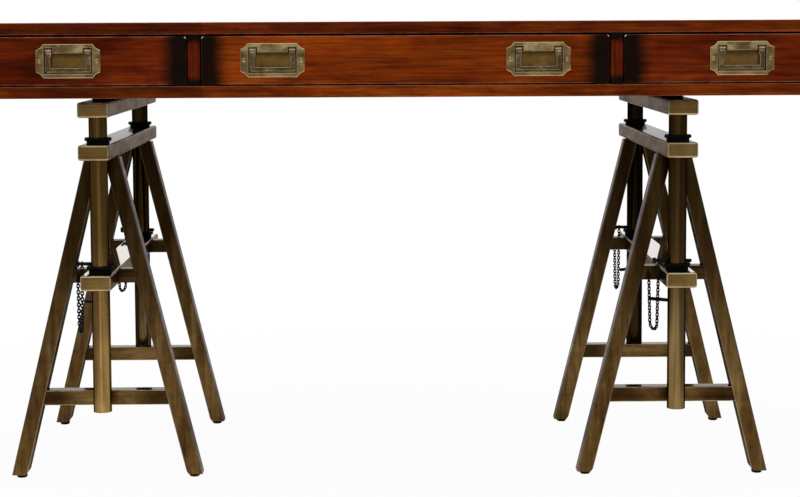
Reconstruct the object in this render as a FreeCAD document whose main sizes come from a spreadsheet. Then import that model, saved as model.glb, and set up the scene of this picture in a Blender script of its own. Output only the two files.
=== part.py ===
import FreeCAD, Part
import math
import os
import re
import Sketcher

Vector = FreeCAD.Vector
Rotation = FreeCAD.Rotation
Placement = FreeCAD.Placement

# Driving dimensions in millimetres.
# The frame: X along the desk, -Y towards the sitter, +Z up, origin on the floor under the middle.
SIZES = {
    # Case of the desk
    "desk_width": 1486,
    "desk_depth": 650,
    "desk_height": 760,
    "case_height": 120,
    "board_thickness": 19,
    "back_thickness": 12,
    "board_edge_round": 1.5,
    "centre_opening": 652,
    # Drawers
    "drawer_side_gap": 2,
    "drawer_top_gap": 3,
    "drawer_foot_gap": 2,
    "drawer_front_thickness": 20,
    "drawer_corner_round": 5,
    "drawer_edge_round": 2.5,
    "drawer_back_space": 78,
    "drawer_wall": 12,
    "drawer_wall_height": 68,
    "drawer_bottom_thickness": 6,
    "drawer_bottom_rise": 10,
    "runner_thickness": 3,
    "runner_width": 20,
    "slide_clearance": 0.3,
    "stop_width": 30,
    "stop_depth": 10,
    "stop_height": 8,
    "stop_inset": 60,
    # Flush pulls
    "centre_pull_spacing": 422,
    "plate_width": 102,
    "plate_height": 54,
    "plate_corner_width": 12,
    "plate_corner_height": 9.5,
    "plate_corner_dip": 1.2,
    "plate_proud": 1.5,
    "recess_width": 74,
    "recess_height": 39.5,
    "recess_top_margin": 6.8,
    "recess_depth": 9.5,
    "tongue_width": 51,
    "tongue_drop": 8.7,
    "pan_wall": 3,
    "pan_floor": 2,
    "let_in_clearance": 0.2,
    "bail_side_gap": 0.5,
    "bail_foot_gap": 1.4,
    "bail_arm": 8,
    "bail_bar": 6.8,
    "bail_thickness": 6,
    "bail_edge_round": 1,
    "knuckle_width": 10.5,
    "knuckle_radius": 5,
    "pivot_drop": 5.7,
    "pivot_depth": 3.5,
    "trunnion_radius": 2,
    "trunnion_reach": 2,
    "trunnion_end_gap": 0.3,
    "pivot_clearance": 0.08,
    "plate_screw_inset": 5.5,
    "plate_screw_radius": 1.5,
    "plate_screw_length": 12,
    "plate_screw_head_radius": 3.5,
    "plate_screw_crown_radius": 2,
    "plate_screw_head_height": 1,
    "screw_fit": 0.05,
    # Trestles: rails and posts
    "left_trestle_inset": 241.5,
    "right_trestle_inset": 297.5,
    "rail_width": 50,
    "rail_height": 25,
    "rail_length": 600,
    "rail_wall": 2.5,
    "rail_edge_round": 4,
    "rail_pad_thickness": 7,
    "rail_pad_width": 36,
    "rail_pad_length": 380,
    "rail_screw_spacing": 240,
    "rail_screw_radius": 3,
    "rail_screw_bite": 13,
    "rail_screw_head_radius": 6,
    "rail_screw_head_height": 4,
    "head_rail_gap": 34,
    "guide_rail_drop": 211,
    "post_diameter": 30,
    "post_wall": 2.5,
    "post_spacing": 496,
    "post_bottom": 121,
    "post_hole_pitch": 75,
    "bush_neck_diameter": 37.6,
    "bush_neck_rise": 4.5,
    "bush_flange_diameter": 44,
    "bush_flange_thickness": 5.5,
    "bush_edge": 1,
    "post_running_clearance": 0.1,
    "bush_fit": 0.1,
    # Trestles: frames
    "frame_spacing": 402,
    "member_width": 25,
    "member_depth": 30,
    "member_wall": 2,
    "member_edge_round": 2.5,
    "leg_head_half_spread": 28.8,
    "leg_foot_half_spread": 159.5,
    "leg_foot_clip_width": 3,
    "leg_foot_clip_height": 6,
    "crossbar_lift": 2,
    "crossbar_depth": 26,
    "stretcher_bottom": 124,
    "stretcher_height": 25,
    "stretcher_depth": 26,
    "glide_diameter": 17.5,
    "glide_height": 6,
    "glide_edge": 1.5,
    "glide_inset": 14.6,
    # Lock pins, chains, their anchors and hooks
    "lock_pin_diameter": 6,
    "lock_pin_handle_reach": 35,
    "lock_pin_tip_reach": 24,
    "lock_pin_tip_taper": 1,
    "lock_pin_head_diameter": 10,
    "lock_pin_head_length": 5,
    "lock_pin_rest_gap": 0.2,
    "lock_pin_hole_clearance": 0.1,
    "chain_pitch": 5.3,
    "chain_wire": 1.5,
    "chain_link_inner_width": 2.6,
    "chain_link_play": 0.25,
    "chain_drop": 116,
    "chain_bend_radius": 11,
    "chain_ring_reach": 30,
    "chain_ring_radius": 5,
    "chain_ring_wire": 1.6,
    "chain_ring_rest_gap": 0.3,
    "anchor_reach": 42,
    "anchor_rise": 11,
    "anchor_ring_radius": 3.5,
    "anchor_wire": 2,
    "anchor_stem": 2.5,
    "hook_diameter": 6,
    "hook_drop": 35,
    "hook_bend_radius": 10,
    "hook_arm_reach": 36,
    "hook_turn_in": 25,
    "hook_stem_offset": 45,
    # Overrun of every cut that opens into free space
    "cut_overrun": 1,
}
POST_HOLES = 3
LONG_EDGE_SHARE = 0.8
FRONT_FACE_SHARE = 0.01
FULL_TURN = 360
HALF_TURN = 180
QUARTER_TURN = 90

doc = FreeCAD.newDocument("campaign_desk")
sheet = doc.addObject("Spreadsheet::Sheet", "Sizes")
for row, (name, number) in enumerate(SIZES.items(), start=1):
    sheet.set("A%d" % row, name)
    sheet.set("B%d" % row, str(number))
    sheet.setAlias("B%d" % row, name)
doc.recompute()

NODES = {}


# Expressions and placing

def bound(text):
    """The expression with every named size looked up in the sheet."""
    return re.sub(r"[a-z]\w+", lambda m: ("Sizes." if m.group(0) in SIZES else "") + m.group(0), text)


def measure(text):
    """The number that an expression of named sizes gives."""
    return float(sheet.evalExpression(bound(text)))


def tie(thing, **properties):
    for name, text in properties.items():
        thing.setExpression(name, bound(text))
    return thing


def place(thing, x="0", y="0", z="0", turn=None):
    if turn is not None:
        thing.Placement = Placement(Vector(), turn)
    for axis, text in zip("xyz", (x, y, z)):
        thing.setExpression("Placement.Base." + axis, bound(text))
    return thing


def node(label, thing):
    thing.Label = label
    NODES[label] = thing
    return thing


# Bodies made from sketches

def new_body(name):
    return doc.addObject("PartDesign::Body", name)


def new_sketch(body, name, plane):
    sketch = body.newObject("Sketcher::SketchObject", name)
    origin = next(f for f in body.Origin.OriginFeatures if f.Role == plane)
    sketch.AttachmentSupport = [(origin, "")]
    sketch.MapMode = "FlatFace"
    return sketch


def outline(body, name, plane, points):
    """A closed outline of straight lines whose corners are bound to the sheet."""
    sketch = new_sketch(body, name, plane)
    corners = [Vector(measure(u), measure(v), 0) for u, v in points]
    count = len(corners)
    for i in range(count):
        sketch.addGeometry(Part.LineSegment(corners[i], corners[(i + 1) % count]))
    for i in range(count):
        sketch.addConstraint(Sketcher.Constraint("Coincident", i, 2, (i + 1) % count, 1))
    for i, pair in enumerate(points):
        for kind, text, number in zip(("DistanceX", "DistanceY"), pair, (corners[i].x, corners[i].y)):
            index = sketch.addConstraint(Sketcher.Constraint(kind, -1, 1, i, 1, number))
            sketch.setExpression("Constraints[%d]" % index, bound(text))
    return sketch


def round_outline(body, name, plane, u, v, radius):
    """A circle whose centre and radius are bound to the sheet."""
    sketch = new_sketch(body, name, plane)
    centre = Vector(measure(u), measure(v), 0)
    sketch.addGeometry(Part.Circle(centre, Vector(0, 0, 1), measure(radius)))
    for kind, text, number in (("DistanceX", u, centre.x), ("DistanceY", v, centre.y)):
        index = sketch.addConstraint(Sketcher.Constraint(kind, -1, 1, 0, 3, number))
        sketch.setExpression("Constraints[%d]" % index, bound(text))
    index = sketch.addConstraint(Sketcher.Constraint("Radius", 0, measure(radius)))
    sketch.setExpression("Constraints[%d]" % index, bound(radius))
    return sketch


def feature(body, kind, name, sketch, length, side="One side", reverse=False):
    """A pad or a pocket of a sketch, with its length bound to the sheet."""
    made = body.newObject("PartDesign::" + kind, name)
    made.Profile = sketch
    made.SideType = side
    made.Reversed = reverse
    return tie(made, Length=length)


def turned(body, name, points, axis):
    """A solid of revolution from an outline in the XZ plane."""
    sketch = outline(body, name + "_profile", "XZ_Plane", points)
    made = body.newObject("PartDesign::Revolution", name + "_turning")
    made.Profile = sketch
    made.ReferenceAxis = (sketch, [axis])
    made.Angle = FULL_TURN
    return body


def rounded(body, name, base, radius, wanted=None):
    """Rounds the edges of a feature that pass the test, or all of them."""
    doc.recompute()
    made = body.newObject("PartDesign::Fillet", name)
    edges = base.Shape.Edges
    chosen = ["Edge%d" % (i + 1) for i, e in enumerate(edges) if wanted is None or wanted(e)]
    made.Base = (base, chosen)
    return tie(made, Radius=radius)


def block(name, size, corner, radius=None):
    """A board or bar with square faces: its size, its lowest corner and the round of its edges."""
    body = new_body(name)
    dx, dy, dz = size
    sketch = outline(body, name + "_outline", "XY_Plane", [("0", "0"), (dx, "0"), (dx, dy), ("0", dy)])
    pad = feature(body, "Pad", name + "_pad", sketch, dz)
    if radius is not None:
        rounded(body, name + "_round", pad, radius)
    return place(body, *corner)


def bar(name, points, depth, x, y, radius=None):
    """A bar with an upright outline, as deep each way from its middle plane."""
    body = new_body(name)
    sketch = outline(body, name + "_outline", "XZ_Plane", points)
    pad = feature(body, "Pad", name + "_pad", sketch, depth, side="Symmetric")
    if radius is not None:
        doc.recompute()
        longest = max(e.Length for e in pad.Shape.Edges)
        rounded(body, name + "_round", pad, radius, lambda e: e.Length > LONG_EDGE_SHARE * longest)
    return place(body, x, y)


# Plain solids and what is made from them

AIMS = {
    "X": Rotation(Vector(0, 1, 0), QUARTER_TURN),
    "Y": Rotation(Vector(1, 0, 0), -QUARTER_TURN),
    "Z": Rotation(),
}


def box(name, size, corner):
    made = doc.addObject("Part::Box", name)
    tie(made, Length=size[0], Width=size[1], Height=size[2])
    return place(made, *corner)


def rod(name, radius, length, aim, x, y, z):
    """A round bar that starts at a point and runs along X, Y or Z."""
    made = doc.addObject("Part::Cylinder", name)
    tie(made, Radius=radius, Height=length)
    return place(made, x, y, z, AIMS[aim])


def ring(name, radius, wire, x, y, z):
    """A round ring that stands across X: the radius of its middle line and its wire's thickness."""
    made = doc.addObject("Part::Torus", name)
    tie(made, Radius1=radius, Radius2="(%s) / 2" % wire)
    return place(made, x, y, z, AIMS["X"])


def fused(name, things):
    made = doc.addObject("Part::MultiFuse", name)
    made.Shapes = things
    return made


def cut(name, base, tools):
    made = doc.addObject("Part::Cut", name)
    made.Base = base
    made.Tool = tools[0] if len(tools) == 1 else fused(name + "_tools", tools)
    return made


def group(name, things):
    made = doc.addObject("Part::Compound", name)
    made.Links = things
    return made


# Places that several pieces share

FRONT = "((plate_proud + plate_screw_head_height - desk_depth) / 2)"
BACK = f"({FRONT} + desk_depth)"
CASE_BOTTOM = "(desk_height - case_height)"
FLOOR_OF_CASE = f"({CASE_BOTTOM} + board_thickness)"
OPENING_HEIGHT = "(case_height - 2 * board_thickness)"
SIDE_OPENING = "((desk_width - 4 * board_thickness - centre_opening) / 2)"
SIDE_MIDDLE = f"((centre_opening + {SIDE_OPENING}) / 2 + board_thickness)"
DRAWERS = {
    "left": (f"(-{SIDE_MIDDLE})", SIDE_OPENING, {"left": "0"}),
    "centre": (
        "0",
        "centre_opening",
        {"centre_left": "(-centre_pull_spacing / 2)", "centre_right": "(centre_pull_spacing / 2)"},
    ),
    "right": (SIDE_MIDDLE, SIDE_OPENING, {"right": "0"}),
}
DRAWER_FRONT_BOTTOM = f"({FLOOR_OF_CASE} + drawer_foot_gap)"
DRAWER_FRONT_HEIGHT = f"({OPENING_HEIGHT} - drawer_top_gap - drawer_foot_gap)"
DRAWER_BACK_OF_FRONT = f"({FRONT} + drawer_front_thickness)"
DRAWER_DEPTH = f"({BACK} - back_thickness - drawer_back_space - {DRAWER_BACK_OF_FRONT})"
DRAWER_BOX_BOTTOM = f"({FLOOR_OF_CASE} + runner_thickness + slide_clearance)"
PULL_HEIGHT = f"({DRAWER_FRONT_BOTTOM} + {DRAWER_FRONT_HEIGHT} / 2)"
RECESS_TOP = "(plate_height / 2 - recess_top_margin)"
RECESS_BOTTOM = f"({RECESS_TOP} - recess_height)"
PIVOT_RISE = f"({RECESS_TOP} - pivot_drop)"
SCREW_REACH = "(plate_width / 2 - plate_screw_inset)"

TRESTLES = {
    "left": "(left_trestle_inset - desk_width / 2)",
    "right": "(desk_width / 2 - right_trestle_inset)",
}
ENDS = {"front": -1, "back": 1}
SIDES = {"left": -1, "right": 1}
TOP_RAIL_BOTTOM = f"({CASE_BOTTOM} - rail_pad_thickness - rail_height)"
BUSH_RISE = "(rail_height + bush_neck_rise + bush_flange_thickness)"
HEAD_RAIL_BOTTOM = f"({TOP_RAIL_BOTTOM} - head_rail_gap - {BUSH_RISE})"
GUIDE_RAIL_BOTTOM = f"({HEAD_RAIL_BOTTOM} - guide_rail_drop)"
CROSSBAR_BOTTOM = f"({GUIDE_RAIL_BOTTOM} + crossbar_lift)"
PIN_HEIGHT = f"({GUIDE_RAIL_BOTTOM} + {BUSH_RISE} + lock_pin_rest_gap + lock_pin_diameter / 2)"
RING_DROP = "(chain_ring_radius - (lock_pin_diameter + chain_ring_wire) / 2 - chain_ring_rest_gap)"
RING_HEIGHT = f"({PIN_HEIGHT} - {RING_DROP})"
LEAN = f"((leg_foot_half_spread - leg_head_half_spread) / ({HEAD_RAIL_BOTTOM} - glide_height))"
LEAN_STRETCH = f"sqrt(1 + {LEAN} ^ 2)"
ANCHOR_HEIGHT = f"({CROSSBAR_BOTTOM} + anchor_rise)"


def leg_outer(z):
    """Half the distance between a pair of legs, outside, at a height."""
    return f"(leg_head_half_spread + {LEAN} * ({HEAD_RAIL_BOTTOM} - ({z})))"


def leg_inner(z):
    return f"({leg_outer(z)} - member_width * {LEAN_STRETCH})"


def mirrored(points, side):
    return [(f"{side} * ({u})", v) for u, v in points]


# Case

def build_case():
    deep = "desk_depth - back_thickness"
    node("top_board", block(
        "top_board", ("desk_width", "desk_depth", "board_thickness"),
        ("-desk_width / 2", FRONT, "desk_height - board_thickness"), "board_edge_round"))
    bottom = block(
        "bottom_plank", ("desk_width", "desk_depth", "board_thickness"),
        ("-desk_width / 2", FRONT, CASE_BOTTOM), "board_edge_round")
    node("bottom_board", cut("bottom_board", bottom, rail_screw_holes("bottom_board")))
    for side, corner in (("left", "-desk_width / 2"), ("right", "desk_width / 2 - board_thickness")):
        node(side + "_end", block(
            side + "_end", ("board_thickness", "desk_depth", OPENING_HEIGHT),
            (corner, FRONT, FLOOR_OF_CASE)))
    node("back_panel", block(
        "back_panel", ("desk_width - 2 * board_thickness", "back_thickness", OPENING_HEIGHT),
        ("board_thickness - desk_width / 2", f"{BACK} - back_thickness", FLOOR_OF_CASE)))
    corners = {"left": "-centre_opening / 2 - board_thickness", "right": "centre_opening / 2"}
    node("dividers", group("dividers", [
        block(side + "_divider", ("board_thickness", deep, OPENING_HEIGHT), (corner, FRONT, FLOOR_OF_CASE))
        for side, corner in corners.items()]))


def build_runners():
    """Strips that the drawer sides slide on, and the blocks that stop the fronts."""
    runners = []
    stops = []
    start = f"{DRAWER_BACK_OF_FRONT} + drawer_side_gap"
    for drawer, (middle, opening, pulls) in DRAWERS.items():
        for side, sign in SIDES.items():
            name = f"{drawer}_{side}"
            edge = f"{middle} + {sign} * {opening} / 2"
            inward = "0" if sign < 0 else "runner_width"
            runners.append(block(
                name + "_runner", ("runner_width", f"{DRAWER_DEPTH} - drawer_side_gap", "runner_thickness"),
                (f"{edge} - {inward}", start, FLOOR_OF_CASE)))
            stops.append(block(
                name + "_stop", ("stop_width", "stop_depth", "stop_height"),
                (f"{edge} - {sign} * stop_inset - stop_width / 2",
                 f"{DRAWER_BACK_OF_FRONT} + slide_clearance", FLOOR_OF_CASE)))
    node("drawer_runners", group("drawer_runners", runners))
    node("drawer_stops", group("drawer_stops", stops))


# Drawers

def build_drawer(drawer, middle, opening, pulls):
    width = f"({opening} - 2 * drawer_side_gap)"
    left = f"{middle} - {width} / 2"
    front = new_body(drawer + "_front_blank")
    outline_points = [("0", "0"), (width, "0"), (width, DRAWER_FRONT_HEIGHT), ("0", DRAWER_FRONT_HEIGHT)]
    sketch = outline(front, drawer + "_front_outline", "XZ_Plane", outline_points)
    pad = feature(front, "Pad", drawer + "_front_pad", sketch, "drawer_front_thickness")
    corner = rounded(front, drawer + "_front_corners", pad, "drawer_corner_round", runs_along_y)
    rounded(front, drawer + "_front_edges", corner, "drawer_edge_round", lambda e: lies_at_front(e, pad))
    place(front, left, DRAWER_BACK_OF_FRONT, DRAWER_FRONT_BOTTOM)
    tools = []
    for pull, offset in pulls.items():
        tools += pull_seat(pull, f"{middle} + {offset}")
    node(drawer + "_drawer_front", cut(drawer + "_drawer_front", front, tools))

    side_size = ("drawer_wall", DRAWER_DEPTH, "drawer_wall_height")
    walls = [
        block(f"{drawer}_drawer_{side}", side_size, (x, DRAWER_BACK_OF_FRONT, DRAWER_BOX_BOTTOM))
        for side, x in (("left", left), ("right", f"{left} + {width} - drawer_wall"))]
    inside = f"{width} - 2 * drawer_wall"
    rise = "(drawer_bottom_rise + drawer_bottom_thickness)"
    walls.append(block(
        f"{drawer}_drawer_back", (inside, "drawer_wall", f"drawer_wall_height - {rise}"),
        (f"{left} + drawer_wall", f"{DRAWER_BACK_OF_FRONT} + {DRAWER_DEPTH} - drawer_wall",
         f"{DRAWER_BOX_BOTTOM} + {rise}")))
    node(drawer + "_drawer_box", group(drawer + "_drawer_box", walls))
    node(drawer + "_drawer_bottom", block(
        drawer + "_drawer_bottom", (inside, DRAWER_DEPTH, "drawer_bottom_thickness"),
        (f"{left} + drawer_wall", DRAWER_BACK_OF_FRONT, f"{DRAWER_BOX_BOTTOM} + drawer_bottom_rise")))

    screws = []
    for pull, offset in pulls.items():
        at = f"({middle} + {offset})"
        build_plate(pull, at)
        build_bail(pull, at)
        screws += plate_screws(pull, at)
    node(drawer + "_pull_screws", group(drawer + "_pull_screws", screws))


def runs_along_y(edge):
    along = edge.Vertexes[-1].Point - edge.Vertexes[0].Point
    return abs(along.y) > abs(along.x) + abs(along.z)


def lies_at_front(edge, pad):
    limit = pad.Shape.BoundBox
    return edge.BoundBox.YMax < limit.YMin + FRONT_FACE_SHARE * limit.YLength


def pull_seat(pull, at):
    """The pocket that a pull's pan is let into, and the holes of its screws."""
    clear = "let_in_clearance"
    pan = box(
        pull + "_pan_seat",
        (f"recess_width + 2 * (pan_wall + {clear})", f"recess_depth + pan_floor + {clear} + cut_overrun",
         f"recess_height + 2 * (pan_wall + {clear})"),
        (f"{at} - recess_width / 2 - pan_wall - {clear}", f"{FRONT} - cut_overrun",
         f"{PULL_HEIGHT} + {RECESS_BOTTOM} - pan_wall - {clear}"))
    holes = [
        rod(f"{pull}_{side}_screw_seat", "plate_screw_radius + screw_fit",
            "plate_screw_length + screw_fit + cut_overrun", "Y",
            f"{at} + {sign} * {SCREW_REACH}", f"{FRONT} - cut_overrun", PULL_HEIGHT)
        for side, sign in SIDES.items()]
    return [pan] + holes


# Flush pulls

def build_plate(pull, at):
    """A cut-cornered plate with a sunk pan, open in a U round the tongue that the bail folds behind."""
    plate = new_body(pull + "_plate_casting")
    w, h = "plate_width / 2", "plate_height / 2"
    cw, ch = "plate_corner_width", "plate_corner_height"
    dip_u, dip_v = f"({w} - {cw} / 2 - plate_corner_dip)", f"({h} - {ch} / 2 - plate_corner_dip)"
    corner = [(f"{w}", f"{h} - {ch}"), (dip_u, dip_v), (f"{w} - {cw}", h)]
    upper = corner + [(f"-({u})", v) for u, v in reversed(corner)]
    points = upper + [(u, f"-({v})") for u, v in reversed(upper)]
    face = outline(plate, pull + "_plate_outline", "XZ_Plane", points)
    feature(plate, "Pad", pull + "_plate_pad", face, "plate_proud")
    reach = "(recess_width / 2 + pan_wall)"
    low, high = f"{RECESS_BOTTOM} - pan_wall", f"{RECESS_TOP} + pan_wall"
    pan = outline(plate, pull + "_pan_outline", "XZ_Plane", [
        (f"-{reach}", low), (reach, low), (reach, high), (f"-{reach}", high)])
    feature(plate, "Pad", pull + "_pan_pad", pan, "recess_depth + pan_floor", reverse=True)
    side, tongue, foot = "recess_width / 2", "tongue_width / 2", f"{RECESS_TOP} - tongue_drop"
    recess = outline(plate, pull + "_recess_outline", "XZ_Plane", [
        (f"-{side}", RECESS_BOTTOM), (side, RECESS_BOTTOM), (side, RECESS_TOP), (tongue, RECESS_TOP),
        (tongue, foot), (f"-{tongue}", foot), (f"-{tongue}", RECESS_TOP), (f"-{side}", RECESS_TOP)])
    feature(plate, "Pocket", pull + "_recess", recess, "2 * recess_depth", side="Symmetric")
    bore = round_outline(
        plate, pull + "_pivot_outline", "YZ_Plane",
        "pivot_depth", PIVOT_RISE, "trunnion_radius + pivot_clearance")
    feature(
        plate, "Pocket", pull + "_pivot_bore", bore,
        "recess_width + 2 * (trunnion_reach + trunnion_end_gap)", side="Symmetric")
    place(plate, at, FRONT, PULL_HEIGHT)
    holes = [
        rod(f"{pull}_{side_name}_plate_hole", "plate_screw_radius + screw_fit",
            "plate_proud + 2 * cut_overrun", "Y",
            f"{at} + {sign} * {SCREW_REACH}", f"{FRONT} - plate_proud - cut_overrun", PULL_HEIGHT)
        for side_name, sign in SIDES.items()]
    node(pull + "_pull_plate", cut(pull + "_pull_plate", plate, holes))


def build_bail(pull, at):
    """A rectangular bail with a round knuckle on each arm and trunnions in the plate."""
    reach = "(recess_width / 2 - bail_side_gap)"
    drop = "(recess_height - pivot_drop - bail_foot_gap)"
    inner = f"({reach} - bail_arm)"
    loop = new_body(pull + "_bail_loop")
    bar_top = f"bail_bar - {drop}"
    sketch = outline(loop, pull + "_bail_outline", "XZ_Plane", [
        (f"-{reach}", "0"), (f"-{reach}", f"-{drop}"), (reach, f"-{drop}"), (reach, "0"),
        (inner, "0"), (inner, bar_top), (f"-{inner}", bar_top), (f"-{inner}", "0")])
    pad = feature(loop, "Pad", pull + "_bail_pad", sketch, "bail_thickness", side="Symmetric")
    rounded(loop, pull + "_bail_round", pad, "bail_edge_round")
    y, z = f"{FRONT} + pivot_depth", f"{PULL_HEIGHT} + {PIVOT_RISE}"
    place(loop, at, y, z)
    parts = [loop]
    for side, sign in SIDES.items():
        near = f"{at} + ({sign}) * {reach}" if sign < 0 else f"{at} + {reach} - knuckle_width"
        start = f"{near} - bail_side_gap - trunnion_reach"
        long = "knuckle_width + 2 * (bail_side_gap + trunnion_reach)"
        parts.append(rod(f"{pull}_{side}_knuckle", "knuckle_radius", "knuckle_width", "X", near, y, z))
        parts.append(rod(f"{pull}_{side}_trunnion", "trunnion_radius", long, "X", start, y, z))
    node(pull + "_bail", fused(pull + "_bail", parts))


def plate_screws(pull, at):
    screws = []
    for side, sign in SIDES.items():
        name = f"{pull}_{side}_screw"
        x = f"{at} + {sign} * {SCREW_REACH}"
        face = f"{FRONT} - plate_proud"
        shank = rod(
            name + "_shank", "plate_screw_radius", "plate_proud + plate_screw_length", "Y",
            x, face, PULL_HEIGHT)
        head = doc.addObject("Part::Cone", name + "_head")
        tie(head, Radius1="plate_screw_crown_radius", Radius2="plate_screw_head_radius")
        tie(head, Height="plate_screw_head_height")
        place(head, x, f"{face} - plate_screw_head_height", PULL_HEIGHT, AIMS["Y"])
        screws.append(fused(name, [shank, head]))
    return screws


# Trestle pieces that carry the desk and slide in the frames

def rail_screw_holes(name):
    """Upright holes for the screws that hold the top rails under the case."""
    holes = []
    for trestle, x in TRESTLES.items():
        for end, sign in ENDS.items():
            holes.append(rod(
                f"{name}_{trestle}_{end}_hole", "rail_screw_radius + screw_fit",
                f"{CASE_BOTTOM} + rail_screw_bite + screw_fit - {TOP_RAIL_BOTTOM} + cut_overrun", "Z",
                x, f"{sign} * rail_screw_spacing / 2", f"{TOP_RAIL_BOTTOM} - cut_overrun"))
    return holes


def hollow_rail(name, x, z, holes):
    """A box-section rail with closed ends, drilled through."""
    outer = block(
        name + "_outside", ("rail_width", "rail_length", "rail_height"),
        (f"{x} - rail_width / 2", "-rail_length / 2", z), "rail_edge_round")
    inner = box(
        name + "_inside",
        ("rail_width - 2 * rail_wall", "rail_length - 2 * rail_wall", "rail_height - 2 * rail_wall"),
        (f"{x} - rail_width / 2 + rail_wall", "rail_wall - rail_length / 2", f"{z} + rail_wall"))
    return node(name, cut(name, outer, [inner] + holes))


def build_posts(trestle, x):
    posts = []
    for end, sign in ENDS.items():
        name = f"{trestle}_{end}_post"
        y = f"{sign} * post_spacing / 2"
        long = f"{TOP_RAIL_BOTTOM} - post_bottom"
        outer = rod(name + "_outside", "post_diameter / 2", long, "Z", x, y, "post_bottom")
        bore = rod(
            name + "_bore", "post_diameter / 2 - post_wall", f"{long} + 2 * cut_overrun", "Z",
            x, y, "post_bottom - cut_overrun")
        holes = [
            rod(f"{name}_hole_{i}", "lock_pin_diameter / 2 + lock_pin_hole_clearance",
                "post_diameter + 2 * cut_overrun", "X", f"{x} - post_diameter / 2 - cut_overrun", y,
                f"{PIN_HEIGHT} - {i} * post_hole_pitch")
            for i in range(POST_HOLES)]
        posts.append(cut(name, outer, [bore] + holes))
    node(trestle + "_posts", group(trestle + "_posts", posts))


def build_rail_fixings():
    """Strips between the top rails and the case, and the screws that go up through both."""
    pads = []
    screws = []
    for trestle, x in TRESTLES.items():
        strip = block(
            trestle + "_pad_strip", ("rail_pad_width", "rail_pad_length", "rail_pad_thickness"),
            (f"{x} - rail_pad_width / 2", "-rail_pad_length / 2", f"{CASE_BOTTOM} - rail_pad_thickness"))
        pads.append(cut(trestle + "_pad", strip, rail_screw_holes(trestle + "_pad")))
        for end, sign in ENDS.items():
            name = f"{trestle}_{end}_rail_screw"
            y = f"{sign} * rail_screw_spacing / 2"
            long = f"{CASE_BOTTOM} + rail_screw_bite - {TOP_RAIL_BOTTOM}"
            screws.append(fused(name, [
                rod(name + "_shank", "rail_screw_radius", long, "Z", x, y, TOP_RAIL_BOTTOM),
                rod(name + "_head", "rail_screw_head_radius", "rail_screw_head_height", "Z", x, y,
                    f"{TOP_RAIL_BOTTOM} - rail_screw_head_height")]))
    node("rail_pads", group("rail_pads", pads))
    node("rail_screws", group("rail_screws", screws))


def build_lock_pins(trestle, x):
    """Turned pins across the posts, each with a head on its outer end and a tapered tip."""
    r, head, taper = "lock_pin_diameter / 2", "lock_pin_head_diameter / 2", "lock_pin_tip_taper"
    neck = "-lock_pin_handle_reach"
    start = f"({neck} - lock_pin_head_length)"
    tip = "lock_pin_tip_reach"
    for end, sign in ENDS.items():
        name = f"{trestle}_{end}_lock_pin"
        body = turned(new_body(name), name, [
            (start, "0"), (start, f"{head} - {taper}"), (f"{start} + {taper}", head), (neck, head),
            (neck, r), (f"{tip} - {taper}", r), (tip, f"{r} - {taper}"), (tip, "0")], "H_Axis")
        node(name, place(body, x, f"{sign} * post_spacing / 2", PIN_HEIGHT))


# Trestle frames that stand on the floor

def post_bores(name, x, z):
    return [
        rod(f"{name}_{end}_bore", "bush_neck_diameter / 2 + bush_fit", "rail_height + 2 * cut_overrun", "Z",
            x, f"{sign} * post_spacing / 2", f"{z} - cut_overrun")
        for end, sign in ENDS.items()]


def build_bushes(name, x, z):
    """Flanged bushes that the posts slide in, standing a little proud of their rail."""
    bore, neck = "post_diameter / 2 + post_running_clearance", "bush_neck_diameter / 2"
    flange = "bush_flange_diameter / 2"
    eased = f"{flange} - bush_edge"
    seat, top = "rail_height + bush_neck_rise", BUSH_RISE
    bushes = []
    for end, sign in ENDS.items():
        body = turned(new_body(f"{name}_{end}"), f"{name}_{end}", [
            (bore, "0"), (neck, "0"), (neck, seat), (eased, seat), (flange, f"{seat} + bush_edge"),
            (flange, f"{top} - bush_edge"), (eased, top), (bore, top)], "V_Axis")
        bushes.append(place(body, x, f"{sign} * post_spacing / 2", z))
    node(name, group(name, bushes))


def build_legs(trestle, x):
    """Leaning box-section legs, cut level top and bottom, with the inner corner clipped at the foot."""
    legs = []
    top, foot, clip = HEAD_RAIL_BOTTOM, "glide_height", "(glide_height + leg_foot_clip_height)"
    wall = f"member_wall * {LEAN_STRETCH}"
    low, high = f"({clip} + member_wall)", f"({HEAD_RAIL_BOTTOM} - member_wall)"
    for end, y_sign in ENDS.items():
        for side, sign in SIDES.items():
            name = f"{trestle}_{end}_{side}_leg"
            y = f"{y_sign} * frame_spacing / 2"
            outer = bar(name + "_outside", mirrored([
                (leg_inner(top), top), (leg_outer(top), top), (leg_outer(foot), foot),
                (f"{leg_inner(foot)} + leg_foot_clip_width", foot), (leg_inner(clip), clip)], sign),
                "member_depth", x, y, "member_edge_round")
            inner = bar(name + "_inside", mirrored([
                (f"{leg_inner(high)} + {wall}", high), (f"{leg_outer(high)} - {wall}", high),
                (f"{leg_outer(low)} - {wall}", low), (f"{leg_inner(low)} + {wall}", low)], sign),
                "member_depth - 2 * member_wall", x, y)
            legs.append(cut(name, outer, [inner]))
    node(trestle + "_legs", group(trestle + "_legs", legs))


def build_crossbars(trestle, x):
    """Short bars from the guide rail's sides to the legs, level with its top."""
    bars = []
    low, high = CROSSBAR_BOTTOM, f"({GUIDE_RAIL_BOTTOM} + rail_height)"
    start = "rail_width / 2"
    for end, y_sign in ENDS.items():
        for side, sign in SIDES.items():
            bars.append(bar(f"{trestle}_{end}_{side}_crossbar", mirrored([
                (start, low), (leg_inner(low), low), (leg_inner(high), high), (start, high)], sign),
                "crossbar_depth", x, f"{y_sign} * frame_spacing / 2"))
    node(trestle + "_crossbars", group(trestle + "_crossbars", bars))


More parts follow.
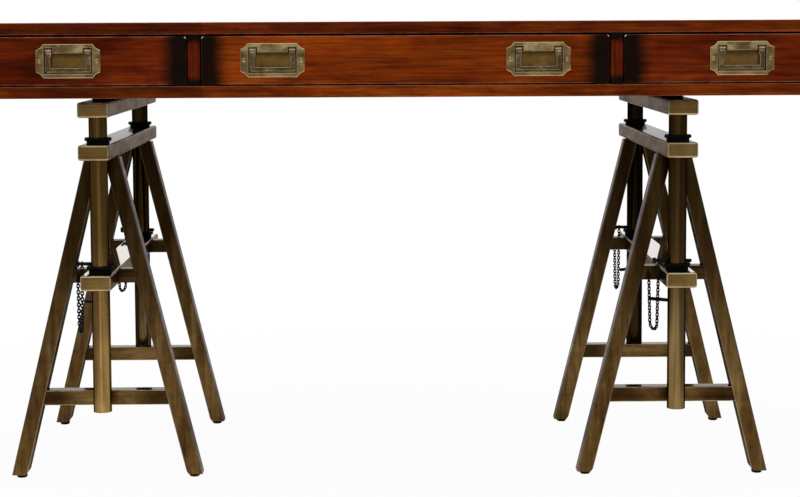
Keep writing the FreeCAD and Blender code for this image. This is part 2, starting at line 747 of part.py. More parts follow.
def build_stretchers(trestle, x):
    """Box-section bars between the legs, near the floor."""
    bars = []
    low, high = "stretcher_bottom", "(stretcher_bottom + stretcher_height)"
    low_in, high_in = f"({low} + member_wall)", f"({high} - member_wall)"
    for end, y_sign in ENDS.items():
        name = f"{trestle}_{end}_stretcher"
        y = f"{y_sign} * frame_spacing / 2"
        outer = bar(name + "_outside", [
            (f"-{leg_inner(low)}", low), (leg_inner(low), low),
            (leg_inner(high), high), (f"-{leg_inner(high)}", high)],
            "stretcher_depth", x, y, "member_wall")
        inner = bar(name + "_inside", [
            (f"member_wall - {leg_inner(low_in)}", low_in),
            (f"{leg_inner(low_in)} - member_wall", low_in),
            (f"{leg_inner(high_in)} - member_wall", high_in),
            (f"member_wall - {leg_inner(high_in)}", high_in)],
            "stretcher_depth - 2 * member_wall", x, y)
        bars.append(cut(name, outer, [inner]))
    node(trestle + "_stretchers", group(trestle + "_stretchers", bars))


def build_glides(trestle, x):
    """Round feet under the legs, eased where they meet the floor."""
    glides = []
    r, edge = "glide_diameter / 2", "glide_edge"
    for end, y_sign in ENDS.items():
        for side, sign in SIDES.items():
            name = f"{trestle}_{end}_{side}_glide"
            body = turned(new_body(name), name, [
                ("0", "0"), (f"{r} - {edge}", "0"), (r, edge), (r, "glide_height"), ("0", "glide_height")],
                "V_Axis")
            at = f"{x} + {sign} * ({leg_outer('glide_height')} - glide_inset)"
            glides.append(place(body, at, f"{y_sign} * frame_spacing / 2"))
    node(trestle + "_glides", group(trestle + "_glides", glides))


# Chains and what holds them

def anchor_depth(sign):
    """How far out from the middle a chain's anchor ring stands."""
    return f"({sign} * ((frame_spacing + crossbar_depth) / 2 + anchor_stem + anchor_ring_radius))"


def build_chain_anchors(trestle, x):
    """Screw eyes on the outer faces of the crossbars."""
    anchors = []
    long = "(anchor_stem + anchor_wire / 2)"
    for end, sign in ENDS.items():
        name = f"{trestle}_{end}_chain_eye"
        middle = f"{sign} * (anchor_stem + anchor_ring_radius)"
        loop = ring(name + "_loop", "anchor_ring_radius", "anchor_wire", "0", middle, "0")
        start = f"-{long}" if sign < 0 else "0"
        stem = rod(name + "_stem", "anchor_wire / 2", long, "Y", "0", start, "0")
        face = f"{sign} * (frame_spacing + crossbar_depth) / 2"
        anchors.append(place(fused(name, [loop, stem]), f"{x} - anchor_reach", face, ANCHOR_HEIGHT))
    node(trestle + "_chain_eyes", group(trestle + "_chain_eyes", anchors))


def build_chain_hooks(trestle, x):
    """Round-bar hooks under the guide rail, beside the posts, for the slack of the chains."""
    hooks = []
    radius = measure("hook_diameter / 2")
    bend = measure("hook_bend_radius")
    top = measure(GUIDE_RAIL_BOTTOM)
    level = measure(f"{GUIDE_RAIL_BOTTOM} - hook_drop")
    for end, sign in ENDS.items():
        hook = doc.addObject("Part::Feature", f"{trestle}_{end}_chain_hook")
        arm = Vector(-measure("hook_arm_reach"), -sign * measure("hook_turn_in"), 0)
        heading = Vector(arm).normalize()
        down = Vector(0, 0, -1)
        start = Vector(0, 0, top)
        low = Vector(0, 0, level + bend)
        centre = low + heading * bend
        middle = centre + (down - heading) * (bend * math.sqrt(0.5))
        out = centre + down * bend
        path = Part.Wire([
            Part.LineSegment(start, low).toShape(),
            Part.Arc(low, middle, out).toShape(),
            Part.LineSegment(out, Vector(arm.x, arm.y, level)).toShape()])
        circle = Part.Wire(Part.makeCircle(radius, start, down))
        hook.Shape = path.makePipeShell([circle], True, False)
        place(hook, x, f"{sign} * (post_spacing / 2 - hook_stem_offset)")
        hooks.append(hook)
    node(trestle + "_chain_hooks", group(trestle + "_chain_hooks", hooks))


def chain_link(pitch):
    """One link with round ends, its length along X and its flat side facing Z."""
    wire = measure("chain_wire / 2")
    half_width = measure("chain_link_inner_width / 2") + wire
    half_straight = (pitch + measure("chain_link_play")) / 2 + wire - half_width
    pieces = []
    for sign in SIDES.values():
        corner = Vector(sign * half_straight, sign * half_width, 0)
        section = Part.Face(Part.Wire(Part.makeCircle(wire, corner, Vector(1, 0, 0))))
        pieces.append(section.extrude(Vector(-2 * sign * half_straight, 0, 0)))
        centre = Vector(sign * half_straight, 0, 0)
        pieces.append(section.revolve(centre, Vector(0, 0, 1), -HALF_TURN))
    link = pieces[0].multiFuse(pieces[1:])
    return link.Solids[0]


def chain_route(sign):
    """Points a link apart down one side of a hanging loop, round its foot and up the other side."""
    play = measure("chain_link_play / 2")
    top = Vector(
        -measure("chain_ring_reach"), sign * measure("post_spacing / 2"),
        measure(f"{RING_HEIGHT} - chain_ring_radius + chain_ring_wire / 2") + play)
    last = Vector(
        -measure("anchor_reach"), measure(anchor_depth(sign)),
        measure(f"{ANCHOR_HEIGHT} - anchor_ring_radius + anchor_wire / 2") + play)
    bend = measure("chain_bend_radius")
    across = Vector(last.x - top.x, last.y - top.y, 0)
    heading = Vector(across).normalize()
    centre = Vector(top.x, top.y, measure(f"{PIN_HEIGHT} - chain_drop + chain_bend_radius")) + across / 2
    first = centre - heading * bend
    second = centre + heading * bend
    spans = [(second - first).Length * math.pi / 2, (first - top).Length, (last - second).Length]
    whole = sum(spans)
    count = 2 * round(whole / measure("chain_pitch") / 2) + 1
    points = []
    for i in range(count + 1):
        along = whole * i / count
        if along <= spans[1]:
            points.append(top + (first - top) * (along / spans[1]))
        elif along <= spans[1] + spans[0]:
            turn = math.pi * (along - spans[1]) / spans[0]
            points.append(centre - heading * (bend * math.cos(turn)) - Vector(0, 0, bend * math.sin(turn)))
        else:
            points.append(second + (last - second) * ((along - spans[1] - spans[0]) / spans[2]))
    return points, heading, whole / count


def build_chains(trestle, x):
    """Chains of separate links from a ring round each lock pin to the eye on the crossbar."""
    chains = []
    for end, sign in ENDS.items():
        points, heading, pitch = chain_route(sign)
        link = chain_link(pitch)
        across = heading.cross(Vector(0, 0, 1))
        links = []
        for i, (a, b) in enumerate(zip(points, points[1:])):
            along = (b - a).normalize()
            face = along.cross(across) if i % 2 == 0 else across
            turn = Rotation(along, face.cross(along), face, "XZY")
            links.append(link.transformed(Placement((a + b) / 2, turn).toMatrix()))
        chain = doc.addObject("Part::Feature", f"{trestle}_{end}_links")
        chain.Shape = Part.makeCompound(links)
        place(chain, x)
        loop = ring(
            f"{trestle}_{end}_end_ring", "chain_ring_radius", "chain_ring_wire",
            f"{x} - chain_ring_reach", f"{sign} * post_spacing / 2", RING_HEIGHT)
        chains += [chain, loop]
    node(trestle + "_chains", group(trestle + "_chains", chains))


def build_trestle(trestle, x):
    rail_screws = rail_screw_holes(trestle + "_top_rail")
    hollow_rail(trestle + "_top_rail", x, TOP_RAIL_BOTTOM, rail_screws)
    build_posts(trestle, x)
    build_lock_pins(trestle, x)
    for rail, z in (("head", HEAD_RAIL_BOTTOM), ("guide", GUIDE_RAIL_BOTTOM)):
        name = f"{trestle}_{rail}"
        hollow_rail(name + "_rail", x, z, post_bores(name, x, z))
        build_bushes(name + "_bushes", x, z)
    build_legs(trestle, x)
    build_crossbars(trestle, x)
    build_stretchers(trestle, x)
    build_glides(trestle, x)
    build_chain_anchors(trestle, x)
    build_chain_hooks(trestle, x)
    build_chains(trestle, x)


def check():
    """Stops where an object failed or a sub-part has no valid shape."""
    for thing in doc.Objects:
        if "Invalid" in thing.State or "Error" in thing.State:
            raise RuntimeError(f"{thing.Name} failed: {thing.State}")
    for label, thing in NODES.items():
        if thing.Shape.isNull() or not thing.Shape.isValid() or not thing.Shape.Solids:
            raise RuntimeError(f"{label} has no valid solid")


build_case()
build_runners()
for drawer_name, drawer_place in DRAWERS.items():
    build_drawer(drawer_name, *drawer_place)
build_rail_fixings()
for trestle_name, trestle_middle in TRESTLES.items():
    build_trestle(trestle_name, trestle_middle)
doc.recompute()
check()
os.makedirs("parts", exist_ok=True)
for label, thing in NODES.items():
    thing.Shape.exportStep(f"parts/{label}.step")
    print(label, len(thing.Shape.Solids), round(thing.Shape.Volume))
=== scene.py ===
import math

import bmesh
import bpy
from mathutils import Matrix, Vector


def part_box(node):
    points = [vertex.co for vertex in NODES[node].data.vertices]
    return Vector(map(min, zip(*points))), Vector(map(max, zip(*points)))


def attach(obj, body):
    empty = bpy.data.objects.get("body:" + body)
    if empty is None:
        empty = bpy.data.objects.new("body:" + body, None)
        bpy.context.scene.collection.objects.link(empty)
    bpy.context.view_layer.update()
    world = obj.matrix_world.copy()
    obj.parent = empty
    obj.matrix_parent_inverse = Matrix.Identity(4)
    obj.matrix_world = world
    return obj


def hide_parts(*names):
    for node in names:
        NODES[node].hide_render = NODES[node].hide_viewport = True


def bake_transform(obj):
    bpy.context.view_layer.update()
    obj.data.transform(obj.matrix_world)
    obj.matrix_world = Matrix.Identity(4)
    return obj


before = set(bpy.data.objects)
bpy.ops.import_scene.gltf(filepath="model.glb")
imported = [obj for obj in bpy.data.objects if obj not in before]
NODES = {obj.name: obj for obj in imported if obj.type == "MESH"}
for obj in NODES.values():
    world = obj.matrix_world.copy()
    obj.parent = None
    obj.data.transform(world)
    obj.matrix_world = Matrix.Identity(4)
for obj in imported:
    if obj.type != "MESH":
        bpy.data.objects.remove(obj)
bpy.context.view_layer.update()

bl_info = {
    "name": "Campaign Desk Looks",
    "version": (1, 0, 0),
    "blender": (4, 5, 0),
    "location": "View3D > Sidebar > Desk",
    "description": "Pulls, chains and finishes of a campaign desk that stands on two trestles",
    "category": "Object",
}

DRAWERS = ("left", "centre", "right")
PULLS = {"left": "left", "centre_left": "centre", "centre_right": "centre", "right": "right"}
TRESTLES = ("left", "right")
ENDS = {"front": -1, "back": 1}
LEG_SPREAD = 0.1307
LEG_RISE = 0.533
LEG_LEAN = math.atan(LEG_SPREAD / LEG_RISE)
WHITE = (1.0, 1.0, 1.0)

# Board joints in the top and bottom of the case
STAVE_LENGTH = 0.257
STAVE_PLACE = (0.484 + 5 * STAVE_LENGTH, 0.4, 0)
STAVE_OFFSET = 0.37
TOP_STAVE_WIDTH = 0.093
FLOOR_STAVE_WIDTH = 0.081

# Where burnish, tarnish and rubbed places lie, and where shade and highlights are painted: in from an end,
# behind a plate's front, or between two places
DRAWER_DARK_START = 0.042
DRAWER_DARK_FULL = 0.010
DIVIDER_DARK_START = 0.012
RAGGED_REACH = 0.016
JOINT_SHADE_START = 0.075
JOINT_SHADE_FULL = 0.020
PAN_DEPTH = 0.0012
PAN_FADE = 0.005
PAN_SHADE_DROP = 0.010
TONGUE_BRIGHT_RISE = 0.006
WALL_SHADOW_FRONT = 0.0009
WALL_SHADOW_BACK = 0.0002
KNUCKLE_HIGHLIGHT_DROP = 0.001
LEG_SHADE_HEIGHTS = (0.14, 0.50)
POST_SHADE_HEIGHTS = (0.15, 0.60)
POST_SHADE_DEPTHS = (-0.15, 0.15)
POST_SHADE_SIDES = (-0.30, 0.30)

# Brightness of bars against the legs, as painted shade on the crossbars and painted light on the stretchers,
# and of rims against the worn brass
BAR_SHADE_SHARE = 0.45
STRETCHER_LIGHT_SHARE = 1.15
PAN_RIM_SHARE = 0.55
BAIL_RIM_SHARE = 0.75

# Shares of a plate's half width and half height that its pan and its screws lie within
PAN_WIDTH_SHARE = 0.80
PAN_HEIGHT_SHARE = 0.84
SCREW_WIDTH_SHARE = 0.99
SCREW_HEIGHT_SHARE = 0.2

# Shares of a plate screw's radius (crown, neck, rim), its rise (skirt, slot floor) and its shank (point)
SCREW_CROWN_SHARE = 0.30
SCREW_NECK_SHARE = 0.57
SCREW_SKIRT_SHARE = 0.62
SCREW_POINT_SHARE = 0.25
SCREW_RIM_SHARE = 0.95
SLOT_FLOOR_SHARE = 0.05
SCREW_EDGE = 0.0003
SLOT_TURN = math.radians(32)
KNUCKLE_EDGE = 0.0007

# Sides round a link or ring and round its wire, and how far above the foot of its eye a chain ends
LINK_SIDES = (10, 6)
RING_SIDES = (20, 8)
EYE_GRIP = 0.0021

# How near points have to lie to count as one place, and how far faces have to turn to count as an edge
NEAR = 0.0001
NEAR_FACE = 0.00002
NEAR_POINT = 0.00001
FLAT_TURN = math.radians(0.6)
SHARP_TURN = math.radians(40)
QUARTER_TURN = math.radians(90)

# Where the floor changes, as it looks from above or shows in metal, and where lanes of painted shade dim it
# in metal
FLOOR_SIZE = 24
FLOOR_WHITE_REACH = (0.35, 1.7)
FLOOR_ROOM_DEPTHS = (-3.4, -1.1)
LANE_MIDDLE = (0.08, 0.28)
LANE_SIDES = (0.85, 1.30)
LANE_DEPTHS = (-0.10, 0.25)
BACK_DEPTHS = (0.4, 1.2)
BACK_SIDES = (1.1, 1.7)

# Where each lamp stands, where it aims and how wide it is
LAMPS = {
    "key": ((-1.7, -2.6, 2.7), (0, 0, 0.5), 1.6),
    "fill": ((2.4, -2.4, 1.5), (0, 0, 0.4), 1.8),
    "top": ((0.2, 0.4, 3.2), (0, 0, 0.4), 2.2),
}
SENSOR_WIDTH = 36


# Settings that a user would change

def colour(name, description, default):
    return bpy.props.FloatVectorProperty(
        name=name, description=description, subtype="COLOR", size=3, min=0, max=1, default=default)


def tone_of(part, shade, default):
    return colour(f"{part} {shade}", f"{shade.capitalize()} tone of the {part.lower()}", default)


def length(name, description, default):
    return bpy.props.FloatProperty(
        name=name, description=description, subtype="DISTANCE", unit="LENGTH", precision=4, default=default)


def angle(name, description, default):
    return bpy.props.FloatProperty(
        name=name, description=description, subtype="ANGLE", unit="ROTATION", default=default)


def strength(name, description, default, unit="NONE"):
    return bpy.props.FloatProperty(name=name, description=description, unit=unit, default=default, min=0)


SHADES = ("dark", "middle", "light")


class DeskColours(bpy.types.PropertyGroup):
    """Colours of the desk's finishes"""

    case_dark: tone_of("Case boards", "dark", (0.063, 0.0072, 0.0010))
    case_middle: tone_of("Case boards", "middle", (0.182, 0.0252, 0.0022))
    case_light: tone_of("Case boards", "light", (0.325, 0.0680, 0.0058))
    floor_dark: tone_of("Case floor", "dark", (0.092, 0.0125, 0.0012))
    floor_middle: tone_of("Case floor", "middle", (0.245, 0.0400, 0.0026))
    floor_light: tone_of("Case floor", "light", (0.405, 0.0940, 0.0070))
    side_dark: tone_of("Side drawers", "dark", (0.056, 0.0056, 0.0009))
    side_middle: tone_of("Side drawers", "middle", (0.160, 0.0180, 0.0017))
    side_light: tone_of("Side drawers", "light", (0.260, 0.0430, 0.0036))
    centre_dark: tone_of("Centre drawer", "dark", (0.125, 0.0170, 0.0011))
    centre_middle: tone_of("Centre drawer", "middle", (0.275, 0.0410, 0.0022))
    centre_light: tone_of("Centre drawer", "light", (0.380, 0.0790, 0.0050))
    burnish: colour("Burnish", "Darkened ends of the drawer fronts and dividers", (0.0048, 0.0024, 0.0014))
    # Rubbed edges, lightened also as a painted highlight along the rounded edges
    wood_worn: colour("Worn wood", "Rubbed edges of the wood", (0.400, 0.175, 0.090))
    # Painted glint: a pale colour on the upper front corners of the drawer fronts stands in for a highlight
    wood_bare: colour("Bare wood", "Upper corners of the drawer fronts, rubbed pale", (0.520, 0.480, 0.440))
    inside_dark: colour("Drawer boxes dark", "Pores of the drawer boxes", (0.170, 0.085, 0.034))
    inside_light: colour("Drawer boxes light", "Main tone of the drawer boxes", (0.360, 0.215, 0.100))
    pull_dark: colour("Pull brass dark", "Tarnish on the pulls", (0.190, 0.129, 0.053))
    pull_middle: colour("Pull brass", "Main tone of the pulls", (0.570, 0.388, 0.142))
    pull_bright: colour("Pull brass bright", "Yellow patches on the pulls' tongues", (0.760, 0.640, 0.270))
    # Rubbed edges and rims of the pulls, lightened also as a painted highlight
    pull_wear_and_highlight: colour("Pull brass worn", "Rubbed edges of the pulls", (0.830, 0.585, 0.390))
    pull_pan: colour("Pull pan", "Tarnished floor of the pulls", (0.330, 0.185, 0.048))
    bail_dark: colour("Bail dark", "Tarnish on the bails", (0.080, 0.062, 0.033))
    bail_middle: colour("Bail", "Main tone of the bails", (0.200, 0.142, 0.058))
    rail_dark: tone_of("Rails", "dark", (0.135, 0.076, 0.022))
    rail_middle: tone_of("Rails", "middle", (0.290, 0.176, 0.056))
    rail_light: tone_of("Rails", "light", (0.430, 0.300, 0.130))
    post_dark: tone_of("Posts", "dark", (0.265, 0.152, 0.046))
    post_middle: tone_of("Posts", "middle", (0.552, 0.345, 0.122))
    post_light: tone_of("Posts", "light", (0.780, 0.540, 0.230))
    leg_dark: tone_of("Legs and bars", "dark", (0.044, 0.019, 0.0056))
    leg_middle: tone_of("Legs and bars", "middle", (0.124, 0.067, 0.020))
    leg_light: tone_of("Legs and bars", "light", (0.250, 0.160, 0.058))
    # Rubbed edges of rails and legs, lightened also as a painted highlight
    rail_wear_and_highlight: colour("Rail brass worn", "Rubbed edges of the rails", (0.700, 0.580, 0.370))
    trestle_worn: colour("Leg brass worn", "Rubbed edges of the legs and bars", (0.560, 0.450, 0.280))
    plastic: colour("Bush black", "Bushes that the posts slide in", (0.0022, 0.0021, 0.0021))
    rubber: colour("Rubber black", "Glides and the strips over the top rails", (0.0060, 0.0055, 0.005))
    steel: colour("Dark steel", "Pins, chains, eyes and hooks", (0.008, 0.006, 0.005))
    floor: colour("Floor", "Floor under the desk", (0.90, 0.90, 0.90))


class DeskSizes(bpy.types.PropertyGroup):
    """Sizes of the pieces that are modelled here"""

    pan_chamfer: length("Pan chamfer", "Slope round the sunk pan of a pull", 0.0017)
    plate_bevel: length("Plate bevel", "Rounding of the outer edge of the pull plates", 0.0010)
    pan_bevel: length("Pan bevel", "Rounding along the pan and tongue of a pull", 0.0005)
    tongue_foot: length("Tongue foot", "Foot of a pull's tongue above the middle of its plate", 0.0115)
    bail_reach: length("Bail reach", "Half the width of a bail", 0.0365)
    bail_arm: length("Bail arm", "Width of a bail's arms", 0.008)
    bail_bar: length("Bail bar", "Height of a bail's bar", 0.0068)
    bail_thickness: length("Bail thickness", "Depth of a bail from front to back", 0.006)
    bail_corner: length("Bail corner", "Rounding of a bail's lower corners", 0.0022)
    bail_edge: length("Bail edge", "Rounding along a bail", 0.0014)
    knuckle_width: length("Knuckle width", "Length of a bail's knuckles", 0.0105)
    knuckle_radius: length("Knuckle radius", "Radius of a bail's knuckles", 0.005)
    knuckle_flare: length("Knuckle flare", "Height over which an arm widens to its knuckle", 0.0045)
    trunnion_radius: length("Trunnion radius", "Radius of a bail's pivots", 0.002)
    trunnion_reach: length("Trunnion reach", "How far a pivot stands out of its knuckle", 0.002)
    screw_inset: length("Screw inset", "Plate screws from the ends of the plate", 0.0055)
    screw_radius: length("Screw head radius", "Radius of a plate screw's head", 0.0035)
    screw_rise: length("Screw head rise", "Height of a plate screw's head", 0.00095)
    screw_shank: length("Screw shank", "Length of a plate screw below its head", 0.0134)
    screw_slot: length("Screw slot", "Width of a plate screw's slot", 0.0007)
    chain_pitch: length("Chain pitch", "Distance between links", 0.0053)
    chain_wire: length("Chain wire", "Thickness of a link's wire", 0.0021)
    chain_gap: length("Chain gap", "Width inside a link", 0.0026)
    chain_drop: length("Chain drop", "Foot of a chain's loop below its pin", 0.116)
    chain_bend: length("Chain bend", "Radius at the foot of a chain's loop", 0.011)
    ring_reach: length("Ring reach", "End ring from the middle of its post", 0.030)
    ring_radius: length("Ring radius", "Radius of the end ring on a pin", 0.005)
    ring_wire: length("Ring wire", "Thickness of the end ring", 0.0016)
    ring_drop: length("Ring drop", "Middle of the end ring below its pin", 0.0009)


class DeskStage(bpy.types.PropertyGroup):
    """Camera and light"""

    camera_place: bpy.props.FloatVectorProperty(
        name="Camera place", description="Where the camera stands", subtype="TRANSLATION", unit="LENGTH",
        default=(-0.0326, -3.1414, 0.748))
    camera_dip: angle("Camera dip", "How far the camera looks down", 0.0785)
    camera_swing: angle("Camera swing", "How far the camera looks to one side", -0.0081)
    camera_roll: angle("Camera roll", "How far the camera leans", -0.0047)
    camera_lens: bpy.props.FloatProperty(
        name="Lens", description="Focal length on a 36 mm sensor", unit="CAMERA", default=79.85)
    camera_shift: bpy.props.FloatProperty(
        name="Shift", description="Upward shift of the view in widths of the picture", default=-0.1)
    sky: strength("Sky", "Strength of the even light from all round", 0.5)
    room_dim: strength("Room", "How bright the room behind the camera shows in metal", 0.45)
    overhead: strength("Overhead", "How bright the light overhead shows in metal", 0.9)
    side_dim: strength("Sides", "How bright the room at the sides shows in metal", 0.15)
    key: strength("Key", "Main lamp", 46, "POWER")
    fill: strength("Fill", "Lamp on the right", 16, "POWER")
    top: strength("Top", "Lamp overhead", 26, "POWER")


# Node helpers

class Nodes:
    """A node tree under construction, with short calls for the nodes that the finishes share."""

    def __init__(self, tree):
        self.tree = tree
        self.place = tree.nodes.new("ShaderNodeTexCoord")

    def feed(self, socket, value):
        if isinstance(value, bpy.types.NodeSocket):
            self.tree.links.new(value, socket)
        elif hasattr(socket.default_value, "__len__") and len(socket.default_value) == 4 and len(value) == 3:
            socket.default_value = (*value, 1)
        else:
            socket.default_value = value

    def node(self, kind, output, inputs=(), **settings):
        made = self.tree.nodes.new(kind)
        for name, value in settings.items():
            setattr(made, name, value)
        for name, value in dict(inputs).items():
            self.feed(made.inputs[name], value)
        return made.outputs[output]

    def mapped(self, scale, shift=(0, 0, 0)):
        return self.node(
            "ShaderNodeMapping", "Vector",
            {"Vector": self.place.outputs["Object"], "Scale": scale, "Location": shift})

    def noise(self, scale, detail=4, rough=0.55, twist=0, shift=(0, 0, 0)):
        scale = scale if hasattr(scale, "__len__") else (scale,) * 3
        return self.node("ShaderNodeTexNoise", 0, {
            "Vector": self.mapped(scale, shift), "Scale": 1, "Detail": detail, "Roughness": rough,
            "Distortion": twist})

    def math(self, operation, a, b=0.0):
        return self.node("ShaderNodeMath", 0, {0: a, 1: b}, operation=operation)

    def times(self, a, b):
        return self.math("MULTIPLY", a, b)

    def apart(self, a, b):
        return self.math("ABSOLUTE", self.math("SUBTRACT", a, b))

    def span(self, value, low, high, start=0.0, end=1.0, smooth=True):
        return self.node(
            "ShaderNodeMapRange", 0,
            {"Value": value, "From Min": low, "From Max": high, "To Min": start, "To Max": end},
            interpolation_type="SMOOTHSTEP" if smooth else "LINEAR")

    def ramp(self, value, stops):
        made = self.tree.nodes.new("ShaderNodeValToRGB")
        points = made.color_ramp.elements
        while len(points) < len(stops):
            points.new(1)
        for point, (at, tone) in zip(points, stops):
            point.position = at
            point.color = (*tone, 1)
        self.feed(made.inputs[0], value)
        return made.outputs[0]

    def mix(self, share, a, b, blend="MIX"):
        return self.node("ShaderNodeMix", 2, {0: share, 6: a, 7: b}, data_type="RGBA", blend_type=blend)

    def shaded(self, tone, share, value, low, dark, high):
        """A tone that turns darker where a value is low."""
        return self.mix(share, tone, self.ramp(value, [(low, dark), (high, WHITE)]), "MULTIPLY")

    def between(self, share, a, b):
        return self.node("ShaderNodeMix", 0, {0: share, 2: a, 3: b}, data_type="FLOAT")

    def parts(self, output):
        made = self.tree.nodes.new("ShaderNodeSeparateXYZ")
        self.feed(made.inputs[0], self.place.outputs[output])
        return made.outputs

    def edges(self, low, high, lean=0.0):
        """How far the surface turns away from the three main directions, from 0 to 1. The sides may lean."""
        x, y, z = (self.math("ABSOLUTE", part) for part in self.parts("Normal"))
        side = self.math("ADD", self.times(x, math.cos(lean)), self.times(z, math.sin(lean)))
        flat = self.math("MAXIMUM", self.math("MAXIMUM", side, y), z)
        return self.span(self.math("SUBTRACT", 1.0, flat), low, high)

    def bump(self, height, strength, depth):
        return self.node(
            "ShaderNodeBump", 0, {"Height": height, "Strength": strength, "Distance": depth})


class Finish(Nodes):
    """A material under construction."""

    def __init__(self, name):
        self.material = bpy.data.materials.new(name)
        self.material.use_nodes = True
        super().__init__(self.material.node_tree)
        self.shader = self.tree.nodes["Principled BSDF"]

    def done(self, **sockets):
        for name, value in sockets.items():
            self.feed(self.shader.inputs[name.replace("_", " ")], value)
        return self.material


# Finishes

def scaled(tone, share):
    return tuple(min(1.0, share * part) for part in tone)


def shades(tones, part):
    """The dark, middle and light tones of one kind of wood or brass."""
    return [getattr(tones, f"{part}_{shade}") for shade in SHADES]


def along(axis, with_grain, across):
    return tuple(with_grain if name == axis else across for name in "XYZ")


def polished_wood(
        name, axis, dark, middle, light, worn, staves=0.0, burnish=None, glint=None, shift=(0, 0, 0),
        gloss=0.025):
    """French-polished hardwood with rubbed edges, partly painted highlights, and, if asked, board joints,
    dark ends and painted glints on the upper corners.
    """
    f = Finish(name)
    broad = f.noise(along(axis, 2.1, 26), 6, 0.62, 0.7, shift)
    flame = f.noise(along(axis, 8, 34), 7, 0.66, 1.3, shift)
    figure = f.between(0.5, broad, flame)
    streaks = f.noise(along(axis, 9, 260), 4, 0.62, 0.25, shift)
    cloud = f.noise(along(axis, 3.4, 6.5), 3, 0.5, 0.0, shift)
    pores = f.span(f.noise(along(axis, 38, 1300), 2, 0.5), 0.56, 0.70)
    tone = f.ramp(figure, [(0.36, dark), (0.50, middle), (0.66, light)])
    tone = f.shaded(tone, 0.8, streaks, 0.34, (0.32, 0.29, 0.26), 0.62)
    tone = f.shaded(tone, 1.0, cloud, 0.34, (0.52, 0.46, 0.40), 0.60)
    if staves:
        bricks = f.node("ShaderNodeTexBrick", "Color", {
            "Vector": f.mapped((1, 1, 0), STAVE_PLACE), "Color1": (0.34, 0.29, 0.25), "Color2": WHITE,
            "Mortar": (0.5, 0.5, 0.5), "Scale": 1, "Mortar Size": 0, "Bias": 0.1,
            "Brick Width": STAVE_LENGTH, "Row Height": staves}, offset=STAVE_OFFSET)
        tone = f.mix(0.6, tone, bricks, "MULTIPLY")
    tone = f.mix(f.times(pores, 0.55), tone, dark)
    # Edges turn pale: wear, and a painted highlight on the rounded edges
    edge = f.times(f.edges(0.03, 0.24), f.span(f.noise(45, 4, 0.7), 0.36, 0.62, 0.25, 0.80))
    tone = f.mix(edge, tone, worn)
    if burnish:
        centre, start, full, dark_end = burnish
        out = f.apart(f.parts("Object")["XYZ".index(axis)], centre)
        ragged = f.times(f.noise(along(axis, 20, 60), 4, 0.6), RAGGED_REACH)
        reach = f.span(f.math("ADD", out, ragged), start, full)
        # In the dark ends the edges keep part of their pale line, the upper ones most: wear and painted
        # highlight
        rubbed = f.times(edge, f.span(f.parts("Normal")[2], -0.1, 0.3, 0.3, 1.0))
        kept = f.span(rubbed, 0.0, 1.0, 0.985, 0.60, smooth=False)
        tone = f.mix(f.times(reach, kept), tone, dark_end)
    # Painted glint: the upper corners that face the front turn pale, as a highlight would
    if glint:
        x, y, z = f.parts("Normal")
        corner = f.span(f.math("MINIMUM", f.math("ABSOLUTE", x), z), 0.10, 0.36)
        tone = f.mix(f.times(corner, f.span(y, -0.35, -0.10, 1.0, 0.0)), tone, glint)
    rough = f.span(f.noise(along(axis, 9, 60), 3), 0.3, 0.7, 0.24, 0.40)
    grain = f.math("SUBTRACT", f.times(streaks, 0.5), pores)
    polish = f.span(f.parts("Normal")[2], 0.6, 0.95, 0.025, gloss)
    return f.done(
        Base_Color=tone, Roughness=rough, Normal=f.bump(grain, 0.22, 0.0002),
        Specular_IOR_Level=0.03, Coat_Weight=polish, Coat_Roughness=0.10)


def drawer_inside_wood(name, axis, dark, light):
    """Plain oiled wood for the drawer boxes, runners and stops."""
    f = Finish(name)
    figure = f.noise(along(axis, 3, 42), 5, 0.6, 0.6)
    pores = f.span(f.noise(along(axis, 30, 1100), 2, 0.5), 0.56, 0.72)
    tone = f.ramp(figure, [(0.3, dark), (0.7, light)])
    tone = f.mix(f.times(pores, 0.5), tone, dark)
    edge = f.times(f.edges(0.05, 0.3), 0.4)
    tone = f.mix(edge, tone, light)
    rough = f.span(figure, 0.3, 0.7, 0.50, 0.66)
    return f.done(Base_Color=tone, Roughness=rough, Normal=f.bump(pores, 0.2, 0.0002))


